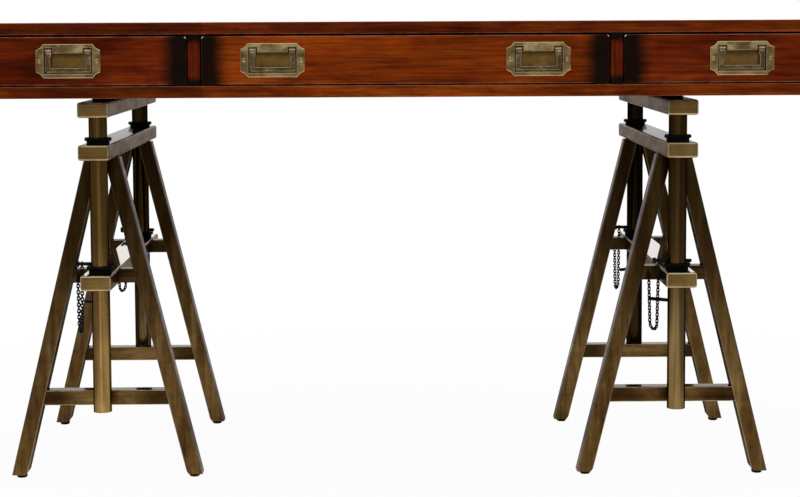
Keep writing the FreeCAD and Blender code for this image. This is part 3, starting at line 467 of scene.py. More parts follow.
def pull_brass(name, dark, middle, worn, sunk=None):
    """Cast brass, hand-rubbed on its faces; edges pale, upper ones most: wear and painted highlight. A plate
    is tarnished in its sunk pan, with painted shadow under the tongue and along the pan's walls, and bright
    above it.
    """
    f = Finish(name)
    cloud = f.noise((55, 55, 80), 6, 0.6, 0.3)
    specks = f.span(f.noise(900, 3, 0.6), 0.58, 0.74)
    brushed = f.noise((140, 60, 1800), 3, 0.6)
    tone = f.ramp(cloud, [(0.26, dark), (0.50, middle), (0.84, worn)])
    tone = f.shaded(tone, 0.35, brushed, 0.3, (0.6, 0.58, 0.54), 0.7)
    if sunk:
        pan, bright, pan_front, pan_top = sunk
        depth, height = f.parts("Object")[1:]
        bands = f.noise((34, 34, 42), 2, 0.5, 0.4)
        tone = f.shaded(tone, 0.8, bands, 0.40, (0.42, 0.40, 0.36), 0.62)
        tongue = f.span(height, pan_top, pan_top + TONGUE_BRIGHT_RISE)
        tone = f.mix(f.times(tongue, f.span(bands, 0.46, 0.60, 0.0, 0.7)), tone, bright)
        floor = f.ramp(cloud, [(0.30, scaled(pan, 0.6)), (0.62, pan)])
        # Painted shadow: the top of the pan darkens below the tongue
        shade = f.span(height, pan_top - PAN_SHADE_DROP, pan_top, 0.0, 0.75)
        floor = f.mix(shade, floor, scaled(pan, 0.25))
        tone = f.mix(f.span(depth, pan_front, pan_front + PAN_FADE, 0.0, 0.95), tone, floor)
        # Painted shadow: the walls round the pan turn nearly black just behind the plate's front
        wall = f.span(f.math("ABSOLUTE", f.parts("Normal")[1]), 0.75, 0.95, 0.92, 0.0)
        painted_shade = f.span(depth, pan_front - WALL_SHADOW_FRONT, pan_front + WALL_SHADOW_BACK)
        tone = f.mix(f.times(wall, painted_shade), tone, scaled(dark, 0.10))
    tone = f.mix(f.times(specks, 0.4), tone, dark)
    if not sunk:
        # Edges turn pale, the upper ones most: wear, and painted highlight on the tops
        edge = f.times(f.edges(0.03, 0.25), f.span(f.noise(160, 4, 0.7), 0.3, 0.6, 0.35, 1.0))
        tone = f.mix(f.times(edge, f.span(f.parts("Normal")[2], -0.2, 0.2, 0.15, 1.0)), tone, worn)
    rough = f.span(cloud, 0.3, 0.7, 0.42, 0.27)
    relief = f.math("ADD", f.times(brushed, 0.4), cloud)
    return f.done(Base_Color=tone, Metallic=1.0, Roughness=rough, Normal=f.bump(relief, 0.14, 0.00025))


def worn_brass(name, middle, worn, under=None):
    """Bright rubbed brass along the rims of the pulls, partly a painted highlight, and painted shade where a
    sunk rim faces down.
    """
    f = Finish(name)
    wear = f.noise(240, 5, 0.7)
    tone = f.ramp(wear, [(0.34, middle), (0.64, worn)])
    # Painted shade: where a sunk rim faces down it takes the dark colour
    if under:
        tone = f.mix(f.span(f.parts("Normal")[2], -0.40, -0.10, 0.9, 0.0), tone, under)
    rough = f.span(wear, 0.3, 0.7, 0.36, 0.22)
    return f.done(Base_Color=tone, Metallic=0.55, Roughness=rough, Normal=f.bump(wear, 0.1, 0.0002))


def trestle_brass(
        name, dark, middle, light, worn, lines, patch, lean=0.0, sides=0.44, top=0.3, top_shade=0.0,
        joints=None):
    """Lacquered antique brass with a soft patina and fine brush lines, rubbed bright along its edges, partly
    a painted highlight, with painted shade towards the tops of the legs, near the joints of the stretchers
    and on sides that face down.
    """
    f = Finish(name)
    cloud = f.noise(patch, 5, 0.6, 0.5)
    mottle = f.noise((46, 16, 46), 6, 0.68, 0.5)
    brushed = f.noise(lines, 4, 0.6)
    specks = f.span(f.noise(520, 3, 0.6), 0.62, 0.78)
    patina = f.math("ADD", f.times(cloud, 0.62), f.times(mottle, 0.2))
    patina = f.math("ADD", patina, f.times(brushed, 0.18))
    tone = f.ramp(patina, [(0.36, dark), (0.50, middle), (0.66, light)])
    # Painted shade colour for the tops of the legs and the joints of the stretchers
    painted_shade = scaled(dark, 0.36)
    # Painted shade: the legs darken towards their tops, under the desk
    if top_shade:
        tone = f.mix(f.span(f.parts("Object")[2], *LEG_SHADE_HEIGHTS, 0.0, top_shade), tone, painted_shade)
    # Painted shade: the stretchers darken near the legs and posts
    if joints:
        centre, reach = joints
        out = f.apart(f.parts("Object")[0], centre)
        shade_near_leg = f.span(out, reach - JOINT_SHADE_START, reach - JOINT_SHADE_FULL, 0.0, 0.8)
        tone = f.mix(shade_near_leg, tone, painted_shade)
    tone = f.mix(f.times(specks, 0.4), tone, dark)
    rubbed = f.span(f.noise(38, 5, 0.7), 0.32, 0.62, 0.35, 0.95 - 0.55 * (top_shade > 0))
    # Edges turn pale: wear, and a painted highlight on the rounded edges
    wear = f.times(f.edges(0.01, 0.18, lean), rubbed)
    rise = f.parts("Normal")[2]
    upper = f.span(rise, 0.95, 0.995)
    # Painted shade: sides that face down reflect less than the other sides
    beside = f.mix(f.span(rise, -0.20, -0.05, 0.8, 0.0), (sides, 0.96 * sides, sides), (0.10, 0.08, 0.07))
    return f.done(
        Base_Color=f.mix(wear, tone, worn), Metallic=f.span(wear, 0.0, 1.0, 1.0, 0.55, smooth=False),
        Roughness=f.between(upper, f.span(mottle, 0.3, 0.7, 0.38, 0.27), 0.30 - 0.26 * top),
        Normal=f.bump(brushed, 0.05, 0.0002), Coat_Weight=f.times(upper, top), Coat_Roughness=0.04,
        Specular_Tint=f.mix(upper, beside, (top, 0.97 * top, 0.94 * top)))


def tube_brass(name, dark, middle, light):
    """Lacquered antique brass tube with fine streaks along it, and painted shade that darkens it higher up,
    towards the back and towards the right.
    """
    f = Finish(name)
    cloud = f.noise((7, 7, 4), 5, 0.6, 0.8)
    streaks = f.noise((260, 260, 2.2), 4, 0.6)
    specks = f.span(f.noise(520, 3, 0.6), 0.62, 0.78)
    patina = f.math("ADD", f.times(cloud, 0.7), f.times(streaks, 0.3))
    tone = f.ramp(patina, [(0.34, dark), (0.50, middle), (0.68, light)])
    tone = f.mix(f.times(specks, 0.4), tone, dark)
    x, y, z = f.parts("Object")
    # Painted shade: the posts darken higher up
    height = f.span(z, *POST_SHADE_HEIGHTS, smooth=False)
    painted_height_shade = f.ramp(height, [(0.18, WHITE), (0.55, (0.48, 0.44, 0.36)), (1.0, (0.42, 0.34, 0.24))])
    tone = f.mix(1.0, tone, painted_height_shade, "MULTIPLY")
    # Painted shade: the posts darken towards the back and towards the right
    painted_place_shade = f.times(f.span(y, *POST_SHADE_DEPTHS, 1.0, 0.22), f.span(x, *POST_SHADE_SIDES, 1.0, 0.42))
    tone = f.mix(1.0, tone, painted_place_shade, "MULTIPLY")
    return f.done(
        Base_Color=tone, Metallic=1.0, Roughness=f.span(cloud, 0.3, 0.7, 0.24, 0.16),
        Normal=f.bump(streaks, 0.04, 0.0002), Specular_Tint=(0.05, 0.04, 0.03))


def black_plastic(name, tone, rough_low, rough_high):
    """Moulded black with a faint bloom and rubbed edges."""
    f = Finish(name)
    bloom = f.noise(60, 5, 0.65)
    fine = f.noise(1400, 2, 0.5)
    pale = tuple(part + 0.001 for part in scaled(tone, 2.4))
    shade = f.ramp(bloom, [(0.35, tone), (0.80, pale)])
    shade = f.mix(f.times(f.edges(0.06, 0.3), 0.35), shade, pale)
    rough = f.span(bloom, 0.3, 0.7, rough_low, rough_high)
    return f.done(
        Base_Color=shade, Roughness=rough, Normal=f.bump(fine, 0.12, 0.0001), Specular_IOR_Level=0.05)


def dark_steel(name, tone):
    """Blackened steel, rubbed a little brighter in places."""
    f = Finish(name)
    cloud = f.noise(120, 5, 0.65)
    shade = f.ramp(cloud, [(0.42, tone), (0.80, scaled(tone, 4.0))])
    rough = f.span(cloud, 0.3, 0.7, 0.48, 0.32)
    return f.done(Base_Color=shade, Metallic=0.85, Roughness=rough, Normal=f.bump(cloud, 0.1, 0.0002))


# Modelling helpers

def clear_selection():
    if bpy.context.mode != "OBJECT":
        end_edit()
    bpy.ops.object.select_all(action="DESELECT")


def take(piece):
    """Makes one piece the only one selected."""
    clear_selection()
    piece.select_set(True)
    bpy.context.view_layer.objects.active = piece


def named(piece, name):
    piece.name = piece.data.name = name
    return piece


def begin(name):
    """Names the primitive just added and puts its place into its mesh."""
    piece = named(bpy.context.object, name)
    bpy.ops.object.transform_apply(location=True, rotation=True, scale=True)
    return piece


def cube(name, low, high):
    clear_selection()
    low, high = Vector(low), Vector(high)
    bpy.ops.mesh.primitive_cube_add(size=1, location=(low + high) / 2, scale=high - low)
    return begin(name)


def cylinder(name, centre, radius, depth, turn, sides=32):
    clear_selection()
    bpy.ops.mesh.primitive_cylinder_add(
        vertices=sides, radius=radius, depth=depth, location=centre, rotation=turn)
    return begin(name)


def edit(piece):
    take(piece)
    bpy.ops.object.mode_set(mode="EDIT")


def end_edit():
    bpy.ops.object.mode_set(mode="OBJECT")


def pick(piece, kind, test):
    """Selects the faces, edges or corners that pass a test, and nothing else."""
    bpy.ops.mesh.select_all(action="DESELECT")
    bpy.ops.mesh.select_mode(type=kind)
    mesh = bmesh.from_edit_mesh(piece.data)
    parts = {"FACE": mesh.faces, "EDGE": mesh.edges, "VERT": mesh.verts}[kind]
    chosen = [part for part in parts if test(part)]
    if not chosen:
        raise RuntimeError(f"{piece.name}: nothing to work on")
    for part in chosen:
        part.select_set(True)
    bmesh.update_edit_mesh(piece.data)


def pick_faces(piece, test):
    """Selects the faces that pass a test on their middle and normal."""
    pick(piece, "FACE", lambda face: test(face.calc_center_median(), face.normal))


def pick_edges(piece, test):
    """Selects the edges that pass a test on their two ends."""
    pick(piece, "EDGE", lambda edge: test(*(corner.co for corner in edge.verts), edge))


def lift(offset):
    bpy.ops.mesh.extrude_region_move(TRANSFORM_OT_translate={"value": offset})


def ease(offset, segments, clamp=True, material=-1):
    bpy.ops.mesh.bevel(
        offset=offset, segments=segments, affect="EDGES", clamp_overlap=clamp, material=material)


def is_sharp(edge):
    return len(edge.link_faces) == 2 and edge.calc_face_angle() > SHARP_TURN


def join_solid(piece, other, operation="UNION"):
    """Adds another solid to a piece, or cuts it out, and removes it."""
    take(piece)
    join = piece.modifiers.new("join", "BOOLEAN")
    join.object = other
    join.operation = operation
    join.solver = "EXACT"
    bpy.ops.object.modifier_apply(modifier=join.name)
    bpy.data.objects.remove(other)


def smooth(piece, degrees=35):
    take(piece)
    bpy.ops.object.shade_smooth_by_angle(angle=math.radians(degrees))
    clear_selection()


def copied(piece, name):
    """A copy with its own mesh."""
    made = piece.copy()
    made.data = piece.data.copy()
    bpy.context.scene.collection.objects.link(made)
    return named(made, name)


def moved_copy(piece, name, offset):
    made = copied(piece, name)
    made.data.transform(Matrix.Translation(offset))
    return made


def joined(pieces, name):
    clear_selection()
    for piece in pieces:
        piece.select_set(True)
    bpy.context.view_layer.objects.active = pieces[0]
    bpy.ops.object.join()
    made = named(bpy.context.object, name)
    clear_selection()
    return made


def merged_copy(node, name):
    """A copy of a CAD node as one closed mesh with whole faces."""
    made = copied(NODES[node], name)
    made.parent = None
    made.matrix_world = Matrix.Identity(4)
    for key in list(made.keys()):
        del made[key]
    made.data.materials.clear()
    edit(made)
    bpy.ops.mesh.select_all(action="SELECT")
    bpy.ops.mesh.remove_doubles(threshold=NEAR_POINT)
    bpy.ops.mesh.dissolve_limited(angle_limit=FLAT_TURN)
    end_edit()
    bpy.ops.mesh.customdata_custom_splitnormals_clear()
    return made


def dress(piece, material, body, stands_for):
    """Gives a piece its finish, unless it has one, and its body, and hides the CAD node that it stands for.
    """
    if not piece.data.materials:
        piece.data.materials.append(material)
    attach(piece, body)
    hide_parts(stands_for)


def paint(material, *names):
    """Gives CAD nodes a finish in place of their plain one."""
    for name in names:
        node = NODES[name]
        node.data.materials.clear()
        node.data.materials.append(material)


# Operators

class DESK_OT_case(bpy.types.Operator):
    """Finish the boards of the case and the drawer boxes"""

    bl_idname = "desk.case"
    bl_label = "Case and drawer boxes"

    def execute(self, context):
        tones = context.scene.desk_colours
        case, floor, side = ((*shades(tones, part), tones.wood_worn) for part in ("case", "floor", "side"))
        paint(polished_wood("case_top_wood", "X", *case, staves=TOP_STAVE_WIDTH, gloss=0.6), "top_board")
        under = polished_wood(
            "case_floor_wood", "X", *floor, staves=FLOOR_STAVE_WIDTH, shift=(5.3, 1.9, 0.6))
        paint(under, "bottom_board")
        paint(polished_wood("case_back_wood", "X", *case, shift=(1.3, 0.2, 0.9)), "back_panel")
        paint(polished_wood("case_end_wood", "Y", *case), "left_end", "right_end")
        low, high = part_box("dividers")
        half = (high.z - low.z) / 2
        ends = (low.z + half, half - DIVIDER_DARK_START, half, tones.burnish)
        paint(polished_wood("divider_wood", "Z", *side, burnish=ends), "dividers")
        inside = drawer_inside_wood("drawer_box_wood", "Y", tones.inside_dark, tones.inside_light)
        paint(inside, "drawer_runners", *(name + "_drawer_box" for name in DRAWERS))
        flat = drawer_inside_wood("drawer_floor_wood", "X", tones.inside_dark, tones.inside_light)
        paint(flat, "drawer_stops", *(name + "_drawer_bottom" for name in DRAWERS))
        return {"FINISHED"}


class DESK_OT_drawer_fronts(bpy.types.Operator):
    """Finish the three drawer fronts, darkened at their ends, with painted glints on their upper corners"""

    bl_idname = "desk.drawer_fronts"
    bl_label = "Drawer fronts"

    def execute(self, context):
        tones = context.scene.desk_colours
        for number, drawer in enumerate(DRAWERS):
            node = drawer + "_drawer_front"
            low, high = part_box(node)
            kind = "centre" if drawer == "centre" else "side"
            half = (high.x - low.x) / 2
            ends = (low.x + half, half - DRAWER_DARK_START, half - DRAWER_DARK_FULL, tones.burnish)
            paint(polished_wood(
                drawer + "_drawer_wood", "X", *shades(tones, kind), tones.wood_worn, burnish=ends,
                glint=tones.wood_bare, shift=(1.7 * number, 0.31 * number, 0.173 * number)), node)
        return {"FINISHED"}


class DESK_OT_pull_plates(bpy.types.Operator):
    """Make one let-in pull plate with rubbed rims, partly painted highlights, and copy it to the four pulls
    """

    bl_idname = "desk.pull_plates"
    bl_label = "Pull plates"

    def finish_edges(self, plate, sizes):
        """Slopes the walls round the sunk pan and the tongue, and rounds the edges round the face."""
        low, high = Vector(plate.bound_box[0]), Vector(plate.bound_box[6])
        middle, half = (low + high) / 2, (high - low) / 2

        def on_face(end):
            return abs(end.y - low.y) < NEAR_FACE

        def inside(end):
            away = end - middle
            return abs(away.x) < half.x * PAN_WIDTH_SHARE and abs(away.z) < half.z * PAN_HEIGHT_SHARE

        def at_screw(end):
            away = end - middle
            return abs(away.x) <= half.x * SCREW_WIDTH_SHARE and abs(away.z) < half.z * SCREW_HEIGHT_SHARE

        def pick_rim(test):
            pick_edges(plate, lambda a, b, edge: is_sharp(edge) and all(
                on_face(end) and test(end) for end in (a, b)))

        edit(plate)
        pick_rim(inside)
        ease(sizes.pan_chamfer, 1, False)
        # The outer rim takes the pale rim brass: wear and painted highlight
        pick_rim(lambda end: not inside(end) and not at_screw(end))
        ease(sizes.plate_bevel, 3, False, 1)
        pick_rim(inside)
        ease(sizes.pan_bevel, 2, False, 2)
        end_edit()

    def execute(self, context):
        tones, sizes = context.scene.desk_colours, context.scene.desk_sizes
        low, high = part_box("left_pull_plate")
        brass = pull_brass(
            "plate_brass", tones.pull_dark, tones.pull_middle, tones.pull_wear_and_highlight,
            (tones.pull_pan, tones.pull_bright, low.y + PAN_DEPTH, (low.z + high.z) / 2 + sizes.tongue_foot))
        # Rim finishes: pale as wear and painted highlight
        rim = worn_brass("plate_rim_brass", tones.pull_middle, tones.pull_wear_and_highlight)
        pan_worn = scaled(tones.pull_wear_and_highlight, PAN_RIM_SHARE)
        # The pan rim darkens where it faces down: painted shade
        pan_rim = worn_brass("pan_rim_brass", tones.pull_dark, pan_worn, tones.bail_dark)
        first = merged_copy("centre_right_pull_plate", "plate")
        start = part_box("centre_right_pull_plate")[0]
        for finish in (brass, rim, pan_rim):
            first.data.materials.append(finish)
        self.finish_edges(first, sizes)
        smooth(first)
        for pull, drawer in PULLS.items():
            node = pull + "_pull_plate"
            plate = moved_copy(first, pull + "_plate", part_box(node)[0] - start)
            dress(plate, brass, drawer + "_drawer", node)
        bpy.data.objects.remove(first)
        return {"FINISHED"}


class DESK_OT_bails(bpy.types.Operator):
    """Model one bail with its knuckles and trunnions, and copy it to the four pulls"""

    bl_idname = "desk.bails"
    bl_label = "Bails"

    def model(self, sizes, pivot, foot, finishes):
        reach, arm, half = sizes.bail_reach, sizes.bail_arm, sizes.bail_thickness / 2
        low, high = Vector((-reach, -half, foot)), Vector((reach, half, foot + sizes.bail_bar))
        bail = cube("bail", pivot + low, pivot + high)
        for finish in finishes:
            bail.data.materials.append(finish)
        edit(bail)
        for side in (-1, 1):
            bpy.ops.mesh.select_all(action="SELECT")
            bpy.ops.mesh.bisect(plane_co=pivot + Vector((side * (reach - arm), 0, 0)), plane_no=(1, 0, 0))
        shoulder = -sizes.knuckle_radius - sizes.knuckle_flare
        for side in (-1, 1):
            pick_faces(bail, lambda at, normal: normal.z > 0.9 and (at.x - pivot.x) * side > reach - arm)
            lift((0, 0, shoulder - foot - sizes.bail_bar))
            lift((0, 0, sizes.knuckle_flare))
            outside = pivot + Vector((side * reach, 0, 0))
            bpy.ops.transform.resize(value=(sizes.knuckle_width / arm, 1, 1), center_override=outside)
            lift((0, 0, sizes.knuckle_radius))
        pick_edges(bail, lambda a, b, edge: (
            abs(a.y - b.y) > half and a.z - pivot.z < foot + NEAR and abs(a.x - pivot.x) > reach - NEAR))
        ease(sizes.bail_corner, 4)
        pick_edges(bail, lambda a, b, edge: (
            abs(a.y - b.y) > half and abs(a.z - pivot.z - foot - sizes.bail_bar) < NEAR
            and abs(abs(a.x - pivot.x) - reach + arm) < NEAR))
        ease(sizes.bail_edge, 3)
        pick_edges(bail, lambda a, b, edge: is_sharp(edge) and max(a.z, b.z) < pivot.z - NEAR)
        ease(sizes.bail_edge, 3, True, 1)
        end_edit()
        for side in (-1, 1):
            join_solid(bail, self.knuckle(sizes, pivot, side))
        edit(bail)
        # Painted highlight: the upper front faces of the knuckles take the pale rim brass
        pick_faces(bail, lambda at, normal: (
            at.z > pivot.z - KNUCKLE_HIGHLIGHT_DROP and normal.z > 0.1 and normal.y < -0.2))
        bail.active_material_index = 1
        bpy.ops.object.material_slot_assign()
        end_edit()
        smooth(bail, 38)
        return bail

    def knuckle(self, sizes, pivot, side):
        centre = pivot + Vector((side * (sizes.bail_reach - sizes.knuckle_width / 2), 0, 0))
        knuckle = cylinder(
            "knuckle", centre, sizes.knuckle_radius, sizes.knuckle_width, (0, QUARTER_TURN, 0))
        edit(knuckle)
        pick_edges(knuckle, lambda a, b, edge: is_sharp(edge))
        ease(KNUCKLE_EDGE, 3)
        pick_faces(knuckle, lambda at, normal: normal.x * side > 0.99)
        bpy.ops.mesh.inset(thickness=sizes.knuckle_radius - KNUCKLE_EDGE - sizes.trunnion_radius)
        lift((side * sizes.trunnion_reach, 0, 0))
        end_edit()
        return knuckle

    def execute(self, context):
        tones, sizes = context.scene.desk_colours, context.scene.desk_sizes
        brass = pull_brass("bail_brass", tones.bail_dark, tones.bail_middle, tones.pull_wear_and_highlight)
        rim = worn_brass("bail_edge_brass", tones.bail_middle, scaled(tones.pull_wear_and_highlight, BAIL_RIM_SHARE))
        first = None
        for pull in PULLS:
            low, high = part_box(pull + "_bail")
            pivot = Vector(((low.x + high.x) / 2, (low.y + high.y) / 2, high.z - sizes.knuckle_radius))
            if first is None:
                first, start = self.model(sizes, pivot, low.z - pivot.z, (brass, rim)), pivot
                bail = named(first, pull + "_cast_bail")
            else:
                bail = moved_copy(first, pull + "_cast_bail", pivot - start)
            dress(bail, brass, pull + "_bail", pull + "_bail")
        return {"FINISHED"}


class DESK_OT_pull_screws(bpy.types.Operator):
    """Model one slotted plate screw and copy it to both ends of each plate"""

    bl_idname = "desk.pull_screws"
    bl_label = "Pull screws"

    def model(self, sizes, at):
        radius, rise, shank = sizes.screw_radius, sizes.screw_rise, sizes.screw_shank
        slit = sizes.screw_slot / 2
        screw = cylinder("screw", at, radius, rise, (QUARTER_TURN, 0, 0), 28)
        edit(screw)
        front, back = at.y - rise / 2, at.y + rise / 2
        pick_faces(screw, lambda middle, normal: normal.y < -0.9)
        bpy.ops.mesh.inset(thickness=radius * SCREW_CROWN_SHARE)
        pick_edges(screw, lambda a, b, edge: all(
            abs(end.y - front) < NEAR_POINT and (end - at).xz.length > radius * SCREW_RIM_SHARE
            for end in (a, b)))
        bpy.ops.transform.translate(value=(0, rise * SCREW_SKIRT_SHARE, 0))
        pick_edges(screw, lambda a, b, edge: is_sharp(edge) and a.y < back - NEAR_POINT)
        ease(SCREW_EDGE, 3)
        pick_faces(screw, lambda middle, normal: normal.y > 0.9)
        bpy.ops.mesh.inset(thickness=radius * SCREW_NECK_SHARE)
        lift((0, shank * (1 - SCREW_POINT_SHARE), 0))
        lift((0, shank * SCREW_POINT_SHARE, 0))
        bpy.ops.transform.resize(value=(SCREW_POINT_SHARE, 1, SCREW_POINT_SHARE))
        end_edit()
        low, high = Vector((-radius, -rise, -slit)), Vector((radius, rise * SLOT_FLOOR_SHARE, slit))
        slot = cube("slot", at + low, at + high)
        edit(slot)
        bpy.ops.mesh.select_all(action="SELECT")
        bpy.ops.transform.rotate(value=SLOT_TURN, orient_axis="Y", center_override=at)
        end_edit()
        join_solid(screw, slot, "DIFFERENCE")
        smooth(screw)
        return screw

    def execute(self, context):
        tones, sizes = context.scene.desk_colours, context.scene.desk_sizes
        brass = pull_brass("screw_brass", tones.pull_dark, tones.pull_middle, tones.pull_wear_and_highlight)
        first = None
        for drawer in DRAWERS:
            screws = []
            for pull in (name for name, home in PULLS.items() if home == drawer):
                low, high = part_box(pull + "_pull_plate")
                for side in (-1, 1):
                    middle, half = (low.x + high.x) / 2, (high.x - low.x) / 2
                    at = Vector((
                        middle + side * (half - sizes.screw_inset), low.y - sizes.screw_rise / 2,
                        (low.z + high.z) / 2))
                    if first is None:
                        first, start = self.model(sizes, at), at
                    screws.append(moved_copy(first, "screw_copy", at - start))
            row = joined(screws, drawer + "_plate_screws")
            dress(row, brass, drawer + "_drawer", drawer + "_pull_screws")
        bpy.data.objects.remove(first)
        return {"FINISHED"}


class DESK_OT_trestles(bpy.types.Operator):
    """Finish the brass frames, posts, bushes and glides of both trestles, and the rail pads"""

    bl_idname = "desk.trestles"
    bl_label = "Trestles"

    def execute(self, context):
        tones = context.scene.desk_colours
        rails = (*shades(tones, "rail"), tones.rail_wear_and_highlight)
        legs = (*shades(tones, "leg"), tones.trestle_worn)
        # Crossbars get a darker copy of the leg tones, painted shade, and stretchers a lighter one, painted
        # light
        shaded_leg_tones, lit_leg_tones = ([scaled(tone, share) for tone in legs] for share in (BAR_SHADE_SHARE, STRETCHER_LIGHT_SHARE))
        level, upright = (2.2, 2.2, 420), (240, 240, 3)
        rail = trestle_brass("rail_brass", *rails, level, (7, 3, 7))
        guide = trestle_brass("guide_rail_brass", *rails, level, (7, 3, 7), top=1.0)
        post = tube_brass("post_brass", *shades(tones, "post"))
        leg = trestle_brass(
            "leg_brass", *legs, upright, (42, 42, 5), lean=LEG_LEAN, sides=0.75, top_shade=0.7)
        bar = trestle_brass("bar_brass", *shaded_leg_tones, level, (5, 5, 40))
        bush = black_plastic("bush_black", tones.plastic, 0.26, 0.42)
        rubber = black_plastic("rubber_black", tones.rubber, 0.50, 0.70)
        for side in TRESTLES:
            low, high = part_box(side + "_stretchers")
            half = (high.x - low.x) / 2
            stretcher = trestle_brass(
                side + "_stretcher_brass", *lit_leg_tones, level, (5, 5, 40), top=0.55, joints=(low.x + half, half))
            for finish, *parts in (
                    (rail, "top_rail", "head_rail"), (guide, "guide_rail"), (post, "posts"), (leg, "legs"),
                    (bar, "crossbars"), (stretcher, "stretchers"), (bush, "head_bushes", "guide_bushes"),
                    (rubber, "glides")):
                paint(finish, *(f"{side}_{part}" for part in parts))
        paint(rubber, "rail_pads")
        return {"FINISHED"}


class DESK_OT_chains(bpy.types.Operator):
    """Hang the link chains, and finish the pins, eyes, hooks and screws in dark steel"""

    bl_idname = "desk.chains"
    bl_label = "Chains and fittings"

    def torus(self, name, radius, wire, around, along_wire):
        clear_selection()
        bpy.ops.mesh.primitive_torus_add(
            major_segments=around, minor_segments=along_wire, major_radius=radius, minor_radius=wire / 2,
            rotation=(0, 0, math.pi / around))
        return begin(name)

    def link(self, sizes, pitch):
        """One link along X with round ends and straight sides."""
        radius = (sizes.chain_gap + sizes.chain_wire) / 2
        link = self.torus("link", radius, sizes.chain_wire, *LINK_SIDES)
        stretch = (pitch + sizes.chain_wire) / 2 - radius
        edit(link)
        for side in (-1, 1):
            pick(link, "VERT", lambda corner: corner.co.x * side > 0)
            bpy.ops.transform.translate(value=(side * stretch, 0, 0))
        end_edit()
        smooth(link, 80)
        return link

    def route(self, sizes, ring, eye):
        """Points a link apart down one side of the loop, round its foot and up to the eye."""
        top = ring - Vector((0, 0, sizes.ring_radius - sizes.ring_wire / 2))
        across = Vector((eye.x - top.x, eye.y - top.y, 0))
        heading = across.normalized()
        foot = ring.z + sizes.ring_drop - sizes.chain_drop + sizes.chain_bend
        centre = Vector((top.x, top.y, foot)) + across / 2
        first, last = centre - heading * sizes.chain_bend, centre + heading * sizes.chain_bend
        down, round_foot, up = (first - top).length, math.pi * sizes.chain_bend, (eye - last).length
        whole = down + round_foot + up
        count = 2 * round(whole / sizes.chain_pitch / 2) + 1
        points = []
        for number in range(count + 1):
            gone = whole * number / count
            if gone <= down:
                points.append(top.lerp(first, gone / down))
            elif gone <= down + round_foot:
                turn = (gone - down) / sizes.chain_bend
                points.append(
                    centre - (heading * math.cos(turn) + Vector((0, 0, math.sin(turn)))) * sizes.chain_bend)
            else:
                points.append(last.lerp(eye, (gone - down - round_foot) / up))
        return points, heading, whole / count, centre.z - sizes.chain_bend

    def chain(self, sizes, name, ring, eye):
        """The run from the ring to the foot of the loop, and the run from there to the eye."""
        points, heading, pitch, foot = self.route(sizes, ring, eye)
        link = self.link(sizes, pitch)
        side = heading.cross(Vector((0, 0, 1)))
        runs = [[], []]
        for number, (a, b) in enumerate(zip(points, points[1:])):
            ahead = (b - a).normalized()
            face = ahead.cross(side) if number % 2 == 0 else side
            turn = Matrix((ahead, face.cross(ahead), face)).transposed().to_4x4()
            made = copied(link, f"{name}_link")
            made.data.transform(Matrix.Translation((a + b) / 2) @ turn)
            runs[number > len(points) // 2 - 1].append(made)
        bpy.data.objects.remove(link)
        loop = self.torus("ring", sizes.ring_radius, sizes.ring_wire, *RING_SIDES)
        loop.data.transform(Matrix.Translation(ring) @ Matrix.Rotation(QUARTER_TURN, 4, "Y"))
        smooth(loop, 80)
        return joined(runs[0] + [loop], name + "_pin_run"), joined(runs[1], name + "_eye_run"), foot

    def execute(self, context):
        tones, sizes = context.scene.desk_colours, context.scene.desk_sizes
        steel = dark_steel("chain_steel", tones.steel)
        for trestle in TRESTLES:
            eyes_low, eyes_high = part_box(trestle + "_chain_eyes")
            rail_low, rail_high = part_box(trestle + "_guide_rail")
            for end, sign in ENDS.items():
                pin = trestle + "_" + end + "_lock_pin"
                pin_low, pin_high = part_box(pin)
                pin_middle = (pin_low + pin_high) / 2
                ring = Vector((
                    (rail_low.x + rail_high.x) / 2 - sizes.ring_reach, pin_middle.y,
                    pin_middle.z - sizes.ring_drop))
                tip = eyes_low.y if sign < 0 else eyes_high.y
                eye = Vector((
                    (eyes_low.x + eyes_high.x) / 2, tip - sign * (eyes_high.z - eyes_low.z) / 2,
                    eyes_low.z + EYE_GRIP))
                pin_run, eye_run, foot = self.chain(sizes, f"{trestle}_{end}_chain", ring, eye)
                for run in (pin_run, eye_run):
                    run.data.materials.append(steel)
                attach(eye_run, trestle + "_trestle")
                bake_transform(pin_run)
                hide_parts(trestle + "_chains")
                paint(steel, pin)
            paint(steel, trestle + "_chain_eyes", trestle + "_chain_hooks")
        paint(steel, "rail_screws")
        return {"FINISHED"}


